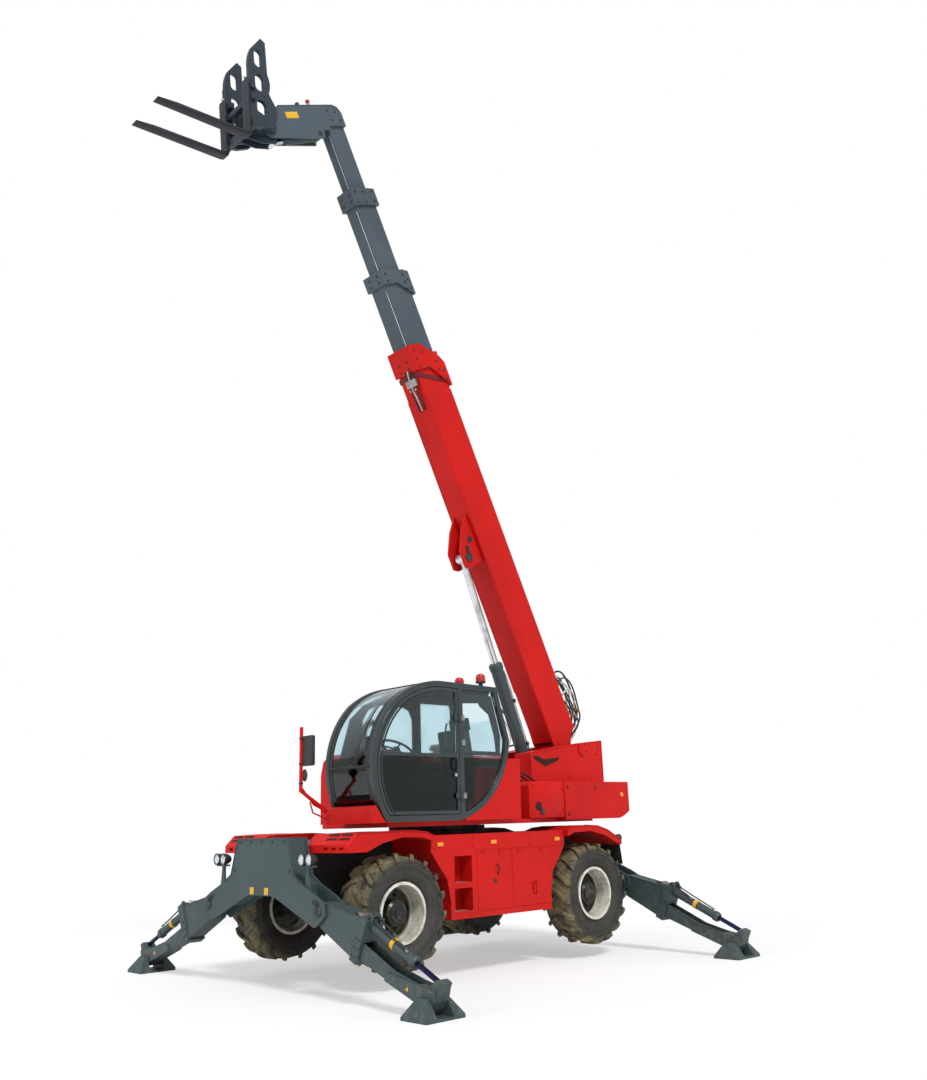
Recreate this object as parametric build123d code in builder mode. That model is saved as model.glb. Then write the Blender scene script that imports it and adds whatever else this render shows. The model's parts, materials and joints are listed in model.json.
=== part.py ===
"""Rotating telehandler on four outriggers, as an assembly of separate parts.

Millimetres, +X forward, +Y to the left (the cab's side), +Z up. The origin is on the floor under
the middle of the machine's box. Everything is drawn round the slew axis and moved there when saved.
"""

import os
from math import atan2, cos, degrees, hypot, pi, radians, sin, sqrt

from build123d import *

# --- fits -------------------------------------------------------------------------------------
SEAT = 0.3  # between pieces that rest on each other
PIN_PLAY = 0.3  # radial, of a pin in its bore
SIDE_PLAY = 6.0  # beside a link between its ears

# --- stance -----------------------------------------------------------------------------------
WHEEL_LIFT = 140.0  # the outriggers hold the tyres this far off the floor
WHEELBASE = 3000.0
TYRE_Y = 980.0  # middle of a tyre from the centre line
TYRE_R = 578.0
TYRE_W = 430.0
AXLE_Z = WHEEL_LIFT + TYRE_R

# --- wheels and axles -------------------------------------------------------------------------
CARCASS_R = 546.0
SHOULDER_Y = 165.0
BEAD_Y = 140.0
LUG_TOP_Y = 178.0  # where a lug's top ends and slopes down the shoulder
RIM_R = 287.0
RIM_HALF_W = 170.0
FLANGE_R = 300.0
RIM_WALL = 16.0
DISC_Y = -30.0
HUB_R = 128.0
HUB_OUT = 85.0
SPINDLE_R = 55.0
LUGS = 17  # on each side of the tread
CARCASS_SIDES = 2 * LUGS  # flats round a tyre
WALL_R = 495.0
KINGPIN_Y = 760.0
KINGPIN_R = 28.0
KNUCKLE_R = 52.0
KNUCKLE_HALF_H = 92.0
YOKE_EAR = 32.0
YOKE_X = 62.0
YOKE_BACK_Y = 700.0
BEAM_R = 88.0
DIFF_R = 175.0
DIFF_HALF_W = 150.0
STEER_DEG = 26.0

# --- chassis ----------------------------------------------------------------------------------
FRAME_HALF_W = 440.0
FRAME_TOP = 1455.0
FRAME_LOW = 620.0
FRAME_AXLE_LOW = 900.0
FRAME_END_X = 2205.0
BOX_OUT_Y = 1085.0
BOX_TOP = FRAME_TOP
BOX_LOW = 590.0
BOX_HALF_L = 790.0
BOX_TOP_HALF_L = 1060.0
STEP_X0 = 470.0
STEP_DEPTH = 190.0
SEAM_W = 7.0
SEAM_DEPTH = 5.0
LATCH_X, LATCH_Z = -510.0, 834.0
FENDER_OUT_Y = 1150.0
FENDER_END_X = 2185.0
FENDER_TOP = 1515.0
FENDER_LOW = 1322.0
FENDER_SLOTS = 3  # in each front flap

# --- outriggers: in the plane across the machine at X = +-OUT_X ------------------------------
OUT_X = 2326.0
ARM_W = 180.0
PLATE_T = 25.0
OUT_PIVOT_Y = 1020.0
OUT_PIVOT_Z = 800.0
FOOT_PIN_Y = 2499.0
FOOT_PIN_Z = 126.0
OUT_PIN_R = 36.0
ARM_L = 650.0
ARM_WALL = 14.0
LEG_W = 140.0
LEG_TOP = 32.0
LEG_LOW = -118.0
LEG_PLAY = 7.0
GUSSET_T = 20.0
OUT_CYL_N = 186.0
OUT_BARREL_R = 46.0
OUT_ROD_R = 24.0
OUT_BARREL_START = 560.0
OUT_BARREL_END = 1330.0
FOOT_HALF_X = 220.0
FOOT_HALF_Y = 165.0
FOOT_PLATE_T = 22.0
FOOT_PIN_R = 26.0
LEG_RETRACT = 270.0
LEG_EXTEND = 250.0

# --- slew ring and turret ---------------------------------------------------------------------
RING_R = 620.0
RING_TOP = 1550.0  # top of the slew ring, on which the deck turns
BASE_T = 70.0
BASE_TOP = RING_TOP + BASE_T
CHANNEL_HALF_W = 215.0  # free space between the boom's cheek plates
CHEEK_T = 36.0
CHEEK_FRONT_X = -1180.0
CHEEK_FRONT_TOP = 2405.0
CHEEK_REAR_TOP = 2600.0
POD_OUT_Y = 500.0
CW_HALF_W = 930.0
CW_TAIL_R = 2730.0
CHEEK_REAR_X = 130.0 - CW_TAIL_R
CW_FRONT_X = -1300.0
CW_TOP = 2030.0
CW_LOW = 1575.0

# --- engine hood: a lid hinged on its upright wall --------------------------------------------
HOOD_X0, HOOD_X1 = -1150.0, 880.0
HOOD_IN_Y, HOOD_OUT_Y = 330.0, 1150.0
HOOD_TOP = 2420.0
HOOD_T = 22.0
HINGE_R = 12.0
HINGE_PIN_R = 6.0
HOOD_HINGE_Y = HOOD_IN_Y - HINGE_R
HOOD_HINGE_Z = HOOD_TOP - HINGE_R
HOOD_HINGE_XS = (-900.0, -135.0, 630.0)
HOOD_KNUCKLE_L = 120.0
LOUVRES = 9  # in each field
LOUVRE_XS = (-1020.0, -300.0)
LOUVRE_L = 480.0
LOUVRE_Z0 = 1720.0
LOUVRE_PITCH = 45.0
LOUVRE_H = 26.0
LOUVRE_DEPTH = 13.0
DECK_TOP = BASE_TOP - 20.0

# --- cab --------------------------------------------------------------------------------------
CAB_IN_Y = 345.0
CAB_OUT_Y = 1150.0
CAB_FLOOR_Z = 1600.0
CAB_ROOF_Z = 3090.0
HOOP_T = 62.0
HOOP_W = 56.0
POST_X = 635.0
GLASS_T = 8.0
DOOR_PLAY = 8.0
DOOR_RAIL = 34.0
DOOR_T = 40.0
HINGE_OUT = 14.0  # hinge pins outside the cab's side
HINGE_HALF_H = 28.0
HINGE_ZS = (1860.0, 2700.0)
MID_RAIL_Z = 2270.0
CAB_FAR_X = 2200.0  # beyond the windscreen
RAIL_R = 11.0
RAIL_POINTS = [(20.0, 2880.0), (-140.0, 2740.0), (-225.0, 2580.0), (-245.0, 2430.0), (-95.0, 2400.0)]  # x, z

# --- boom: its own line, s along it and n up from it ------------------------------------------
BOOM_DEG = 64.12
BOOM_X0 = -2200.0
BOOM_Z0 = 2698.0
RUN_GAP = 0.7  # between a section and the pads it runs on
PAD_L = 120.0
BOOM_WALL = 14.0
OUTER_W, OUTER_H = 368.0, 509.0
SECOND_W, SECOND_H = 301.0, 447.0
THIRD_W, THIRD_H = 227.0, 374.0
INNER_W, INNER_H = 168.0, 298.0
OUTER_END = 5500.0
SECOND_START, SECOND_END = 1000.0, 6700.0
THIRD_START, THIRD_END = 2000.0, 7845.0
INNER_START, INNER_END = 3000.0, 8760.0
COLLAR_GROW = 30.0
COLLAR_L = 210.0
BOOM_PIVOT_S, BOOM_PIVOT_N = -205.0, -100.0
BOOM_PIN_R = 50.0
BOOM_BOSS_R = 150.0
FOOT_CHEEK_T = 26.0
LUG_S, LUG_N = 2745.0, -486.0  # the lift cylinder's pin under the boom
LUG_EAR_Y = 96.0
LUG_EAR_T = 30.0
TELE_IN = 800.0
TELE_OUT = 3000.0

# --- lift cylinder ----------------------------------------------------------------------------
LIFT_BASE_X, LIFT_BASE_Z = -1750.0, 1970.0
LIFT_BARREL_R = 84.0
LIFT_BARREL_L = 1740.0
LIFT_ROD_R = 46.0
LIFT_EYE_R = 78.0
LIFT_EYE_W = 120.0

# --- boom head, tilt cylinder, carriage and tines ----------------------------------------------
HEAD_PIVOT_S, HEAD_PIVOT_N = 8680.0, -1150.0
HEAD_W = 220.0
HEAD_CHEEK_T = 22.0
HEAD_PIN_R = 34.0
HEAD_BOSS_R = 75.0
TILT_BASE_S, TILT_BASE_N = 8610.0, -345.0
TILT_BARREL_R = 52.0
TILT_BARREL_L = 590.0
TILT_TAIL = 330.0  # rod inside the barrel at rest
TILT_ROD_R = 27.0
TILT_EYE_R = 46.0
TILT_PIN_R = 24.0
TILT_EYE_W = 2 * TILT_BARREL_R
TILT_LUG_U, TILT_LUG_V = -78.0, -140.0
TILT_EAR_T = 18.0
FORK_DEG = -4.8
CARRIAGE_HALF_W = 335.0
CARRIAGE_FRONT_U = 410.0
BAR_T = 66.0
TOWER_Y = 275.0
TOWER_T = 50.0
CHEEK_BAR_T = 25.0  # thickness of the plates that hold the head's pin
BAR_MID_HALF = 150.0  # half the open middle that the boom's head swings into
TINE_Y = 262.0
TINE_W = 120.0
TINE_T = 50.0
TINE_LOW = -408.0
TINE_TOP = 350.0
TINE_TIP_U = 1633.0

# --- worked out -------------------------------------------------------------------------------
BOOM_DIR = Vector(cos(radians(BOOM_DEG)), 0, sin(radians(BOOM_DEG)))
BOOM_UP = Vector(-BOOM_DIR.Z, 0, BOOM_DIR.X)
BOOM_ORIGIN = Vector(BOOM_X0, 0, BOOM_Z0)
OUT_DIR = atan2(FOOT_PIN_Z - OUT_PIVOT_Z, FOOT_PIN_Y - OUT_PIVOT_Y)
FOOT_PIN_T = hypot(FOOT_PIN_Z - OUT_PIVOT_Z, FOOT_PIN_Y - OUT_PIVOT_Y)


def on_boom(s, n):
    """A point of the boom's line as X, Y, Z."""
    return BOOM_ORIGIN + BOOM_DIR * s + BOOM_UP * n


BOOM_PIVOT = on_boom(BOOM_PIVOT_S, BOOM_PIVOT_N)
LIFT_PIN = on_boom(LUG_S, LUG_N)
LIFT_BASE = Vector(LIFT_BASE_X, 0, LIFT_BASE_Z)
HEAD_PIVOT = on_boom(HEAD_PIVOT_S, HEAD_PIVOT_N)
TILT_BASE = on_boom(TILT_BASE_S, TILT_BASE_N)
FORK_DIR = Vector(cos(radians(FORK_DEG)), 0, sin(radians(FORK_DEG)))
FORK_UP = Vector(-FORK_DIR.Z, 0, FORK_DIR.X)
TILT_PIN = HEAD_PIVOT + FORK_DIR * TILT_LUG_U + FORK_UP * TILT_LUG_V
TIP = HEAD_PIVOT + FORK_DIR * TINE_TIP_U + FORK_UP * (TINE_LOW + TINE_T)
SLEW_X = (CW_TAIL_R - TIP.X) / 2  # puts the origin under the middle of the box
CORNERS = [("front_left", 1, 1), ("front_right", 1, -1), ("rear_left", -1, 1), ("rear_right", -1, -1)]


def xz(y=0.0):
    """Side plane at a given Y: local x is X, local y is Z, and extrusion goes towards -Y."""
    return Plane.XZ.offset(-y)


def yz(x=0.0):
    """Cross plane at a given X: local x is Y, local y is Z, and extrusion goes towards +X."""
    return Plane.YZ.offset(x)


def along_boom(s):
    """Plane across the boom: local x is Y, local y is n, and extrusion goes towards its head."""
    return Plane(origin=on_boom(s, 0), x_dir=(0, 1, 0), z_dir=BOOM_DIR)


def beside_boom(y):
    """Plane along the boom's side: local x is s, local y is n, and extrusion goes towards -Y."""
    return Plane(origin=BOOM_ORIGIN + Vector(0, y, 0), x_dir=BOOM_DIR, z_dir=(0, -1, 0))


def beside_carriage(y):
    """Plane along the carriage's side: local x is u, local y is v, extrusion towards -Y."""
    return Plane(origin=HEAD_PIVOT + Vector(0, y, 0), x_dir=FORK_DIR, z_dir=(0, -1, 0))


def face_of(points):
    """Closed outline through the points, filled, in the sketch being drawn."""
    with BuildLine() as outline:
        Polyline(*points, close=True)
    make_face(outline.edges())


def save(name, part):
    """Label a finished part, move it to the machine's origin and write it."""
    part = part.moved(Location((SLEW_X, 0, 0)))
    part.label = name
    export_step(part, f"parts/{name}.step")


def at_corner(part, along, side):
    """Copy of a left-hand part at one corner of the machine."""
    if side < 0:
        part = part.mirror(Plane.XZ)
    if along < 0:
        part = part.mirror(Plane.YZ)
    return part


os.makedirs("parts", exist_ok=True)


# === wheels ====================================================================================
def make_tyre():
    """Tyre standing on its axle line: a carcass of flats, with the lugs of both sides fused to it."""
    wall_y = TYRE_W / 2 - 5
    # radius and y of the carcass's edges, from one bead over the tread to the other
    half = [(RIM_R / cos(pi / CARCASS_SIDES), BEAD_Y), (WALL_R, wall_y), (CARCASS_R, SHOULDER_Y)]
    rings = half + [(r, -y) for r, y in reversed(half)]

    def corner(ring, step):
        """Corner of a ring, half a flat past the given step."""
        turn = 2 * pi * (step + 0.5) / CARCASS_SIDES
        return (ring[0] * sin(turn), ring[1], ring[0] * cos(turn))

    flats = []
    for step in range(CARCASS_SIDES):
        for one, other in zip(rings, rings[1:] + rings[:1]):
            corners = [corner(one, step), corner(other, step), corner(other, step + 1), corner(one, step + 1)]
            flats.append(Face(Wire.make_polygon(corners)))
    # a lug's foot: x along the tread, y across it
    foot = [(-34, 8), (26, 8), (88, TYRE_W / 2), (32, TYRE_W / 2)]
    top = sqrt(TYRE_R**2 - 78**2)
    with BuildPart() as tyre:
        add(Solid(Shell(flats)))
        for side, turn in ((1, 0.0), (-1, 180.0 / LUGS)):
            with BuildPart(mode=Mode.PRIVATE) as lug:
                with BuildSketch(Plane.XY.offset(WALL_R)):
                    face_of([(x, side * y) for x, y in foot])
                extrude(amount=top - WALL_R)
                # its end slopes down the shoulder
                with BuildSketch(yz(-100)):
                    face_of([(side * 5, WALL_R - 5), (side * 12, top), (side * LUG_TOP_Y, top),
                             (side * TYRE_W / 2, WALL_R + 30), (side * TYRE_W / 2, WALL_R - 5)])
                extrude(amount=200, mode=Mode.INTERSECT)
            add([lug.part.rotate(Axis.Y, turn + 360.0 * k / LUGS) for k in range(LUGS)])
    return tyre.part


def make_rim():
    """Rim, dished disc and hub of a left-hand wheel, outer face towards +Y."""
    outer = RIM_R - SEAT
    inner = outer - RIM_WALL
    section = [
        (SPINDLE_R + PIN_PLAY, -70), (HUB_R, -70), (HUB_R, DISC_Y - 14), (inner, DISC_Y - 14),
        (inner, -RIM_HALF_W), (FLANGE_R, -RIM_HALF_W), (FLANGE_R, -RIM_HALF_W + 12),
        (outer, -RIM_HALF_W + 12), (outer, RIM_HALF_W - 12), (FLANGE_R, RIM_HALF_W - 12),
        (FLANGE_R, RIM_HALF_W), (inner, RIM_HALF_W), (inner, DISC_Y), (HUB_R, DISC_Y),
        (HUB_R, HUB_OUT - 25), (HUB_R - 30, HUB_OUT), (0, HUB_OUT), (0, 35), (SPINDLE_R + PIN_PLAY, 35),
    ]
    with BuildPart() as rim:
        with BuildSketch(Plane.XY):
            face_of(section)
        revolve(axis=Axis.Y)
    return rim.part


tyre = make_tyre()
rim = make_rim()

with BuildPart() as knuckle:
    with BuildSketch(Plane.XY.offset(-KNUCKLE_HALF_H)):
        Circle(KNUCKLE_R)
    extrude(amount=2 * KNUCKLE_HALF_H)
    with BuildSketch(Plane.XY.offset(-KNUCKLE_HALF_H - YOKE_EAR - SIDE_PLAY)):
        Circle(KINGPIN_R)
    extrude(amount=2 * (KNUCKLE_HALF_H + YOKE_EAR + SIDE_PLAY))
    with BuildSketch(xz(0)):
        Circle(KNUCKLE_HALF_H)
    extrude(amount=-(TYRE_Y - KINGPIN_Y - 70 - SIDE_PLAY))
    with BuildSketch(xz(0)):
        Circle(SPINDLE_R)
    extrude(amount=-(TYRE_Y - KINGPIN_Y + 35 - SIDE_PLAY))

for name, along, side in CORNERS:
    axle_at = Location((WHEELBASE / 2, TYRE_Y, AXLE_Z))
    save(f"tyre_{name}", at_corner(tyre.moved(axle_at), along, side))
    save(f"rim_{name}", at_corner(rim.moved(axle_at), along, side))
    kingpin_at = Location((WHEELBASE / 2, KINGPIN_Y, AXLE_Z))
    save(f"knuckle_{name}", at_corner(knuckle.part.moved(kingpin_at), along, side))

# === axles =====================================================================================
yoke_half_h = KNUCKLE_HALF_H + SIDE_PLAY + YOKE_EAR
with BuildPart() as axles:
    for along in (1, -1):
        axle_plane = Plane(origin=(along * WHEELBASE / 2, 0, AXLE_Z), x_dir=(1, 0, 0), z_dir=(0, 0, 1))
        with BuildSketch(axle_plane):
            with BuildLine():
                Polyline(
                    (0, -YOKE_BACK_Y), (BEAM_R, -YOKE_BACK_Y), (BEAM_R, -DIFF_HALF_W - 90),
                    (DIFF_R, -DIFF_HALF_W), (DIFF_R, DIFF_HALF_W), (BEAM_R, DIFF_HALF_W + 90),
                    (BEAM_R, YOKE_BACK_Y), (0, YOKE_BACK_Y), close=True,
                )
            make_face()
        revolve(axis=Axis((along * WHEELBASE / 2, 0, AXLE_Z), (0, 1, 0)))
        for side in (1, -1):
            back = YOKE_BACK_Y - 60
            with Locations((along * WHEELBASE / 2, side * (back + YOKE_BACK_Y) / 2, AXLE_Z)):
                Box(2 * YOKE_X, YOKE_BACK_Y - back, 2 * yoke_half_h)
            for up in (1, -1):
                ear_z = AXLE_Z + up * (yoke_half_h - YOKE_EAR / 2)
                with Locations((along * WHEELBASE / 2, side * (back + KINGPIN_Y) / 2, ear_z)):
                    Box(2 * YOKE_X, KINGPIN_Y - back, YOKE_EAR)
                with Locations((along * WHEELBASE / 2, side * KINGPIN_Y, ear_z)):
                    Cylinder(YOKE_X, YOKE_EAR)
            with Locations((along * WHEELBASE / 2, side * KINGPIN_Y, AXLE_Z)):
                Cylinder(KINGPIN_R + PIN_PLAY, 2 * yoke_half_h, mode=Mode.SUBTRACT)
                Cylinder(KNUCKLE_R + 7, 2 * (KNUCKLE_HALF_H + SIDE_PLAY), mode=Mode.SUBTRACT)
        # the pad on which the chassis rests
        with Locations((along * WHEELBASE / 2, 0, (AXLE_Z + FRAME_AXLE_LOW) / 2)):
            Box(260, 420, FRAME_AXLE_LOW - AXLE_Z)
save("axles", axles.part)

# === chassis frame =============================================================================
with BuildPart() as chassis:
    low_x, step_x = 860.0, 1010.0
    with BuildSketch(xz(FRAME_HALF_W)):
        face_of([
            (-FRAME_END_X, FRAME_AXLE_LOW), (-step_x, FRAME_AXLE_LOW), (-low_x, FRAME_LOW),
            (low_x, FRAME_LOW), (step_x, FRAME_AXLE_LOW), (FRAME_END_X, FRAME_AXLE_LOW),
            (FRAME_END_X, FRAME_TOP - 60), (1400, FRAME_TOP - 20), (RING_R + 80, FRAME_TOP),
            (-RING_R - 80, FRAME_TOP), (-1400, FRAME_TOP - 20), (-FRAME_END_X, FRAME_TOP - 60),
        ])
    extrude(amount=2 * FRAME_HALF_W)
save("chassis_frame", chassis.part)

# === side boxes: the left one has the two steps ================================================
box_outline = [
    (-BOX_HALF_L, BOX_LOW), (BOX_HALF_L, BOX_LOW), (BOX_HALF_L, 780), (BOX_HALF_L + 45, 1000),
    (BOX_HALF_L + 190, 1180), (BOX_TOP_HALF_L, 1290), (BOX_TOP_HALF_L, BOX_TOP),
    (-BOX_TOP_HALF_L, BOX_TOP), (-BOX_TOP_HALF_L, 1290), (-BOX_HALF_L - 190, 1180),
    (-BOX_HALF_L - 45, 1000), (-BOX_HALF_L, 780),
]
with BuildPart() as side_boxes:
    for side in (1, -1):
        inner_y = FRAME_HALF_W + SEAT
        with BuildSketch(xz(BOX_OUT_Y if side > 0 else -inner_y)):
            face_of(box_outline)
        extrude(amount=BOX_OUT_Y - inner_y)
    for low, high in ((940, 1230), (650, 900)):
        with Locations((STEP_X0 + 130, BOX_OUT_Y - STEP_DEPTH / 2, (low + high) / 2)):
            Box(260, STEP_DEPTH, high - low, mode=Mode.SUBTRACT)
    # seams between the doors: x from, x to, z from, z to
    for side in (1, -1):
        for x0, x1, z0, z1 in (
            (-BOX_TOP_HALF_L - 5, STEP_X0 - 60, 1277, 1277 + SEAM_W), (-160, -160 + SEAM_W, BOX_LOW + 60, 1277),
            (390, 390 + SEAM_W, BOX_LOW + 60, 1277), (-BOX_HALF_L + 20, 390, BOX_LOW + 60, BOX_LOW + 60 + SEAM_W),
        ):
            with Locations(((x0 + x1) / 2, side * BOX_OUT_Y, (z0 + z1) / 2)):
                Box(x1 - x0, 2 * SEAM_DEPTH, z1 - z0, mode=Mode.SUBTRACT)
        # recessed pull with its lever
        with Locations((LATCH_X, side * BOX_OUT_Y, LATCH_Z)):
            Box(70, 2 * 14, 150, mode=Mode.SUBTRACT)
        with Locations((LATCH_X, side * (BOX_OUT_Y - 6), LATCH_Z + 10)):
            Box(26, 20, 110)
save("side_boxes", side_boxes.part)

# === fenders ===================================================================================
# the front pair ends in a flap, the rear pair slopes down behind the wheel
front_outline = [
    (BOX_TOP_HALF_L + 5, 1400), (1230, 1440), (1500, 1450), (1760, 1400), (1960, FENDER_LOW),
    (FENDER_END_X, FENDER_LOW), (FENDER_END_X, 1400), (2080, FENDER_TOP - 10), (1500, FENDER_TOP),
    (1180, FENDER_TOP - 20), (BOX_TOP_HALF_L + 5, BOX_TOP),
]
rear_outline = [
    (BOX_TOP_HALF_L + 5, 1385), (1180, 1425), (1500, 1432), (1760, 1375), (1960, 1290), (2070, 1255),
    (2075, 1285), (2030, 1330), (1810, 1440), (1620, 1492), (1400, FENDER_TOP - 10), (1200, 1490),
    (BOX_TOP_HALF_L + 5, BOX_TOP),
]
with BuildPart() as fenders:
    for along, outline in ((1, front_outline), (-1, rear_outline)):
        for side in (1, -1):
            inner_y = FRAME_HALF_W + SEAT
            with BuildSketch(xz(FENDER_OUT_Y if side > 0 else -inner_y)):
                face_of([(along * x, z) for x, z in outline])
            extrude(amount=FENDER_OUT_Y - inner_y)
    # slots in the front flaps
    for side in (1, -1):
        for k in range(FENDER_SLOTS):
            with Locations((FENDER_END_X, side * (FENDER_OUT_Y - 120 - 130 * k), 1362)):
                Box(60, 80, 26, mode=Mode.SUBTRACT)
save("fenders", fenders.part)

# === stabiliser frames =========================================================================
plate_half = [
    (0, 1480), (475, 1480), (590, 1120), (735, 1035), (1000, 925), (1105, 870), (1120, 760),
    (1010, 680), (940, 650), (236, 915), (0, 915),
]
plate_outline = plate_half + [(-y, z) for y, z in reversed(plate_half[1:-1])]
core_half = [(0, 1465), (455, 1465), (560, 1120), (700, 1030), (700, 790), (236, 930), (0, 930)]
core_outline = core_half + [(-y, z) for y, z in reversed(core_half[1:-1])]
plate_in = ARM_W / 2 + SIDE_PLAY
with BuildPart() as stabiliser_frames:
    for along in (1, -1):
        for start, depth, outline in (
            (OUT_X - plate_in - PLATE_T, PLATE_T, plate_outline),
            (OUT_X + plate_in, PLATE_T, plate_outline),
            (OUT_X - plate_in, 2 * plate_in, core_outline),
        ):
            with BuildSketch(yz(along * start)):
                face_of(outline)
            extrude(amount=along * depth)
        for side in (1, -1):
            with BuildSketch(yz(along * (OUT_X - plate_in - PLATE_T))):
                with Locations((side * OUT_PIVOT_Y, OUT_PIVOT_Z)):
                    Circle(OUT_PIN_R)
            extrude(amount=along * 2 * (plate_in + PLATE_T))
save("stabiliser_frames", stabiliser_frames.part)

# === outriggers: t along the arm from its pin, n up from it ====================================
def out_plane(x):
    """Plane of the front left outrigger: local x is t, local y is n, extrusion towards +X."""
    return Plane(origin=(x, OUT_PIVOT_Y, OUT_PIVOT_Z), x_dir=(0, cos(OUT_DIR), sin(OUT_DIR)), z_dir=(1, 0, 0))


cavity_low = LEG_LOW - LEG_PLAY
cavity_top = LEG_TOP + LEG_PLAY
with BuildPart() as arm:
    with BuildSketch(out_plane(OUT_X - ARM_W / 2)):
        face_of([
            (-60, -75), (-60, 60), (20, 95), (ARM_L - 90, 215), (ARM_L, 235), (ARM_L, -150),
            (ARM_L - 90, -150), (60, -140), (0, -100),
        ])
    extrude(amount=ARM_W)
    with BuildSketch(out_plane(OUT_X - LEG_W / 2 - LEG_PLAY)):
        face_of([(90, cavity_low), (ARM_L + 10, cavity_low), (ARM_L + 10, cavity_top), (90, cavity_top)])
    extrude(amount=LEG_W + 2 * LEG_PLAY, mode=Mode.SUBTRACT)
    # collar round the arm's mouth
    with BuildSketch(out_plane(OUT_X - ARM_W / 2 - 18)):
        face_of([(ARM_L - 70, -168), (ARM_L + 30, -168), (ARM_L + 30, 250), (ARM_L - 70, 250)])
    extrude(amount=ARM_W + 36)
    with BuildSketch(out_plane(OUT_X - LEG_W / 2 - LEG_PLAY)):
        face_of([(ARM_L - 100, cavity_low), (ARM_L + 40, cavity_low), (ARM_L + 40, cavity_top),
                 (ARM_L - 100, cavity_top)])
    extrude(amount=LEG_W + 2 * LEG_PLAY, mode=Mode.SUBTRACT)
    # cylinder barrel on top of the arm
    barrel_plane = Plane(
        origin=(OUT_X, OUT_PIVOT_Y + OUT_BARREL_START * cos(OUT_DIR) - OUT_CYL_N * sin(OUT_DIR),
                OUT_PIVOT_Z + OUT_BARREL_START * sin(OUT_DIR) + OUT_CYL_N * cos(OUT_DIR)),
        x_dir=(1, 0, 0), z_dir=(0, cos(OUT_DIR), sin(OUT_DIR)),
    )
    with BuildSketch(barrel_plane):
        Circle(OUT_BARREL_R)
    extrude(amount=OUT_BARREL_END - OUT_BARREL_START)
    with BuildSketch(barrel_plane.offset(20)):
        Circle(OUT_ROD_R + SEAT)
    extrude(amount=OUT_BARREL_END, mode=Mode.SUBTRACT)
    with BuildSketch(out_plane(OUT_X - ARM_W)):
        Circle(OUT_PIN_R + PIN_PLAY)
    extrude(amount=2 * ARM_W, mode=Mode.SUBTRACT)

leg_start = 130.0 + LEG_RETRACT
with BuildPart() as leg:
    with BuildSketch(out_plane(OUT_X - LEG_W / 2)):
        face_of([
            (leg_start, LEG_LOW), (760, LEG_LOW), (1560, -48), (1640, -62), (1690, -30), (1712, 60),
            (1716, OUT_CYL_N + 34), (1650, OUT_CYL_N + 34), (1600, 110), (1150, LEG_TOP), (leg_start, LEG_TOP),
        ])
    extrude(amount=LEG_W)
    # gussets outside the leg, beside the cylinder's rod
    for x in (OUT_X - LEG_W / 2 - GUSSET_T, OUT_X + LEG_W / 2):
        with BuildSketch(out_plane(x)):
            face_of([(1080, -95), (1560, -48), (1640, -62), (1690, -30), (1712, 60), (1700, 150),
                     (1640, 130), (1300, 40), (1080, -20)])
        extrude(amount=GUSSET_T)
    # hollow channel
    with BuildSketch(out_plane(OUT_X - LEG_W / 2 + ARM_WALL)):
        face_of([(leg_start - 10, LEG_LOW + ARM_WALL), (760, LEG_LOW + ARM_WALL), (1480, -35), (1480, 300),
                 (leg_start - 10, 300)])
    extrude(amount=LEG_W - 2 * ARM_WALL, mode=Mode.SUBTRACT)
    # cylinder rod
    rod_from = OUT_BARREL_START + 40 + LEG_RETRACT
    with BuildSketch(barrel_plane.offset(rod_from - OUT_BARREL_START)):
        Circle(OUT_ROD_R)
    extrude(amount=1680 - rod_from)
    with BuildSketch(out_plane(OUT_X - LEG_W)):
        with Locations((FOOT_PIN_T, 0)):
            Circle(FOOT_PIN_R + PIN_PLAY)
    extrude(amount=2 * LEG_W, mode=Mode.SUBTRACT)

foot_in = LEG_W / 2 + GUSSET_T + SIDE_PLAY
with BuildPart() as foot:
    with Locations((OUT_X, FOOT_PIN_Y, FOOT_PLATE_T / 2)):
        Box(2 * FOOT_HALF_X, 2 * FOOT_HALF_Y, FOOT_PLATE_T)
    # flared skirts: an upright trapezoid, its top sloping down to the plate's edge
    ear_top, ear_half = FOOT_PIN_Z + 46, 62
    for out in (1, -1):
        with BuildPart(mode=Mode.PRIVATE) as skirt:
            with BuildSketch(yz(OUT_X + out * foot_in)):
                face_of([
                    (FOOT_PIN_Y - FOOT_HALF_Y, FOOT_PLATE_T), (FOOT_PIN_Y + FOOT_HALF_Y, FOOT_PLATE_T),
                    (FOOT_PIN_Y + ear_half, ear_top), (FOOT_PIN_Y - ear_half, ear_top),
                ])
            extrude(amount=out * (FOOT_HALF_X - foot_in))
            with BuildSketch(xz(FOOT_PIN_Y + FOOT_HALF_Y)):
                face_of([
                    (OUT_X + out * foot_in, FOOT_PLATE_T), (OUT_X + out * FOOT_HALF_X, FOOT_PLATE_T),
                    (OUT_X + out * FOOT_HALF_X, FOOT_PLATE_T + 14), (OUT_X + out * (foot_in + 30), ear_top),
                    (OUT_X + out * foot_in, ear_top),
                ])
            extrude(amount=2 * FOOT_HALF_Y, mode=Mode.INTERSECT)
        add(skirt.part)
    with BuildSketch(yz(OUT_X - foot_in - 5)):
        with Locations((FOOT_PIN_Y, FOOT_PIN_Z)):
            Circle(FOOT_PIN_R)
    extrude(amount=2 * (foot_in + 5))

for name, along, side in CORNERS:
    save(f"outrigger_arm_{name}", at_corner(arm.part, along, side))
    save(f"outrigger_leg_{name}", at_corner(leg.part, along, side))
    save(f"outrigger_foot_{name}", at_corner(foot.part, along, side))

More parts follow.
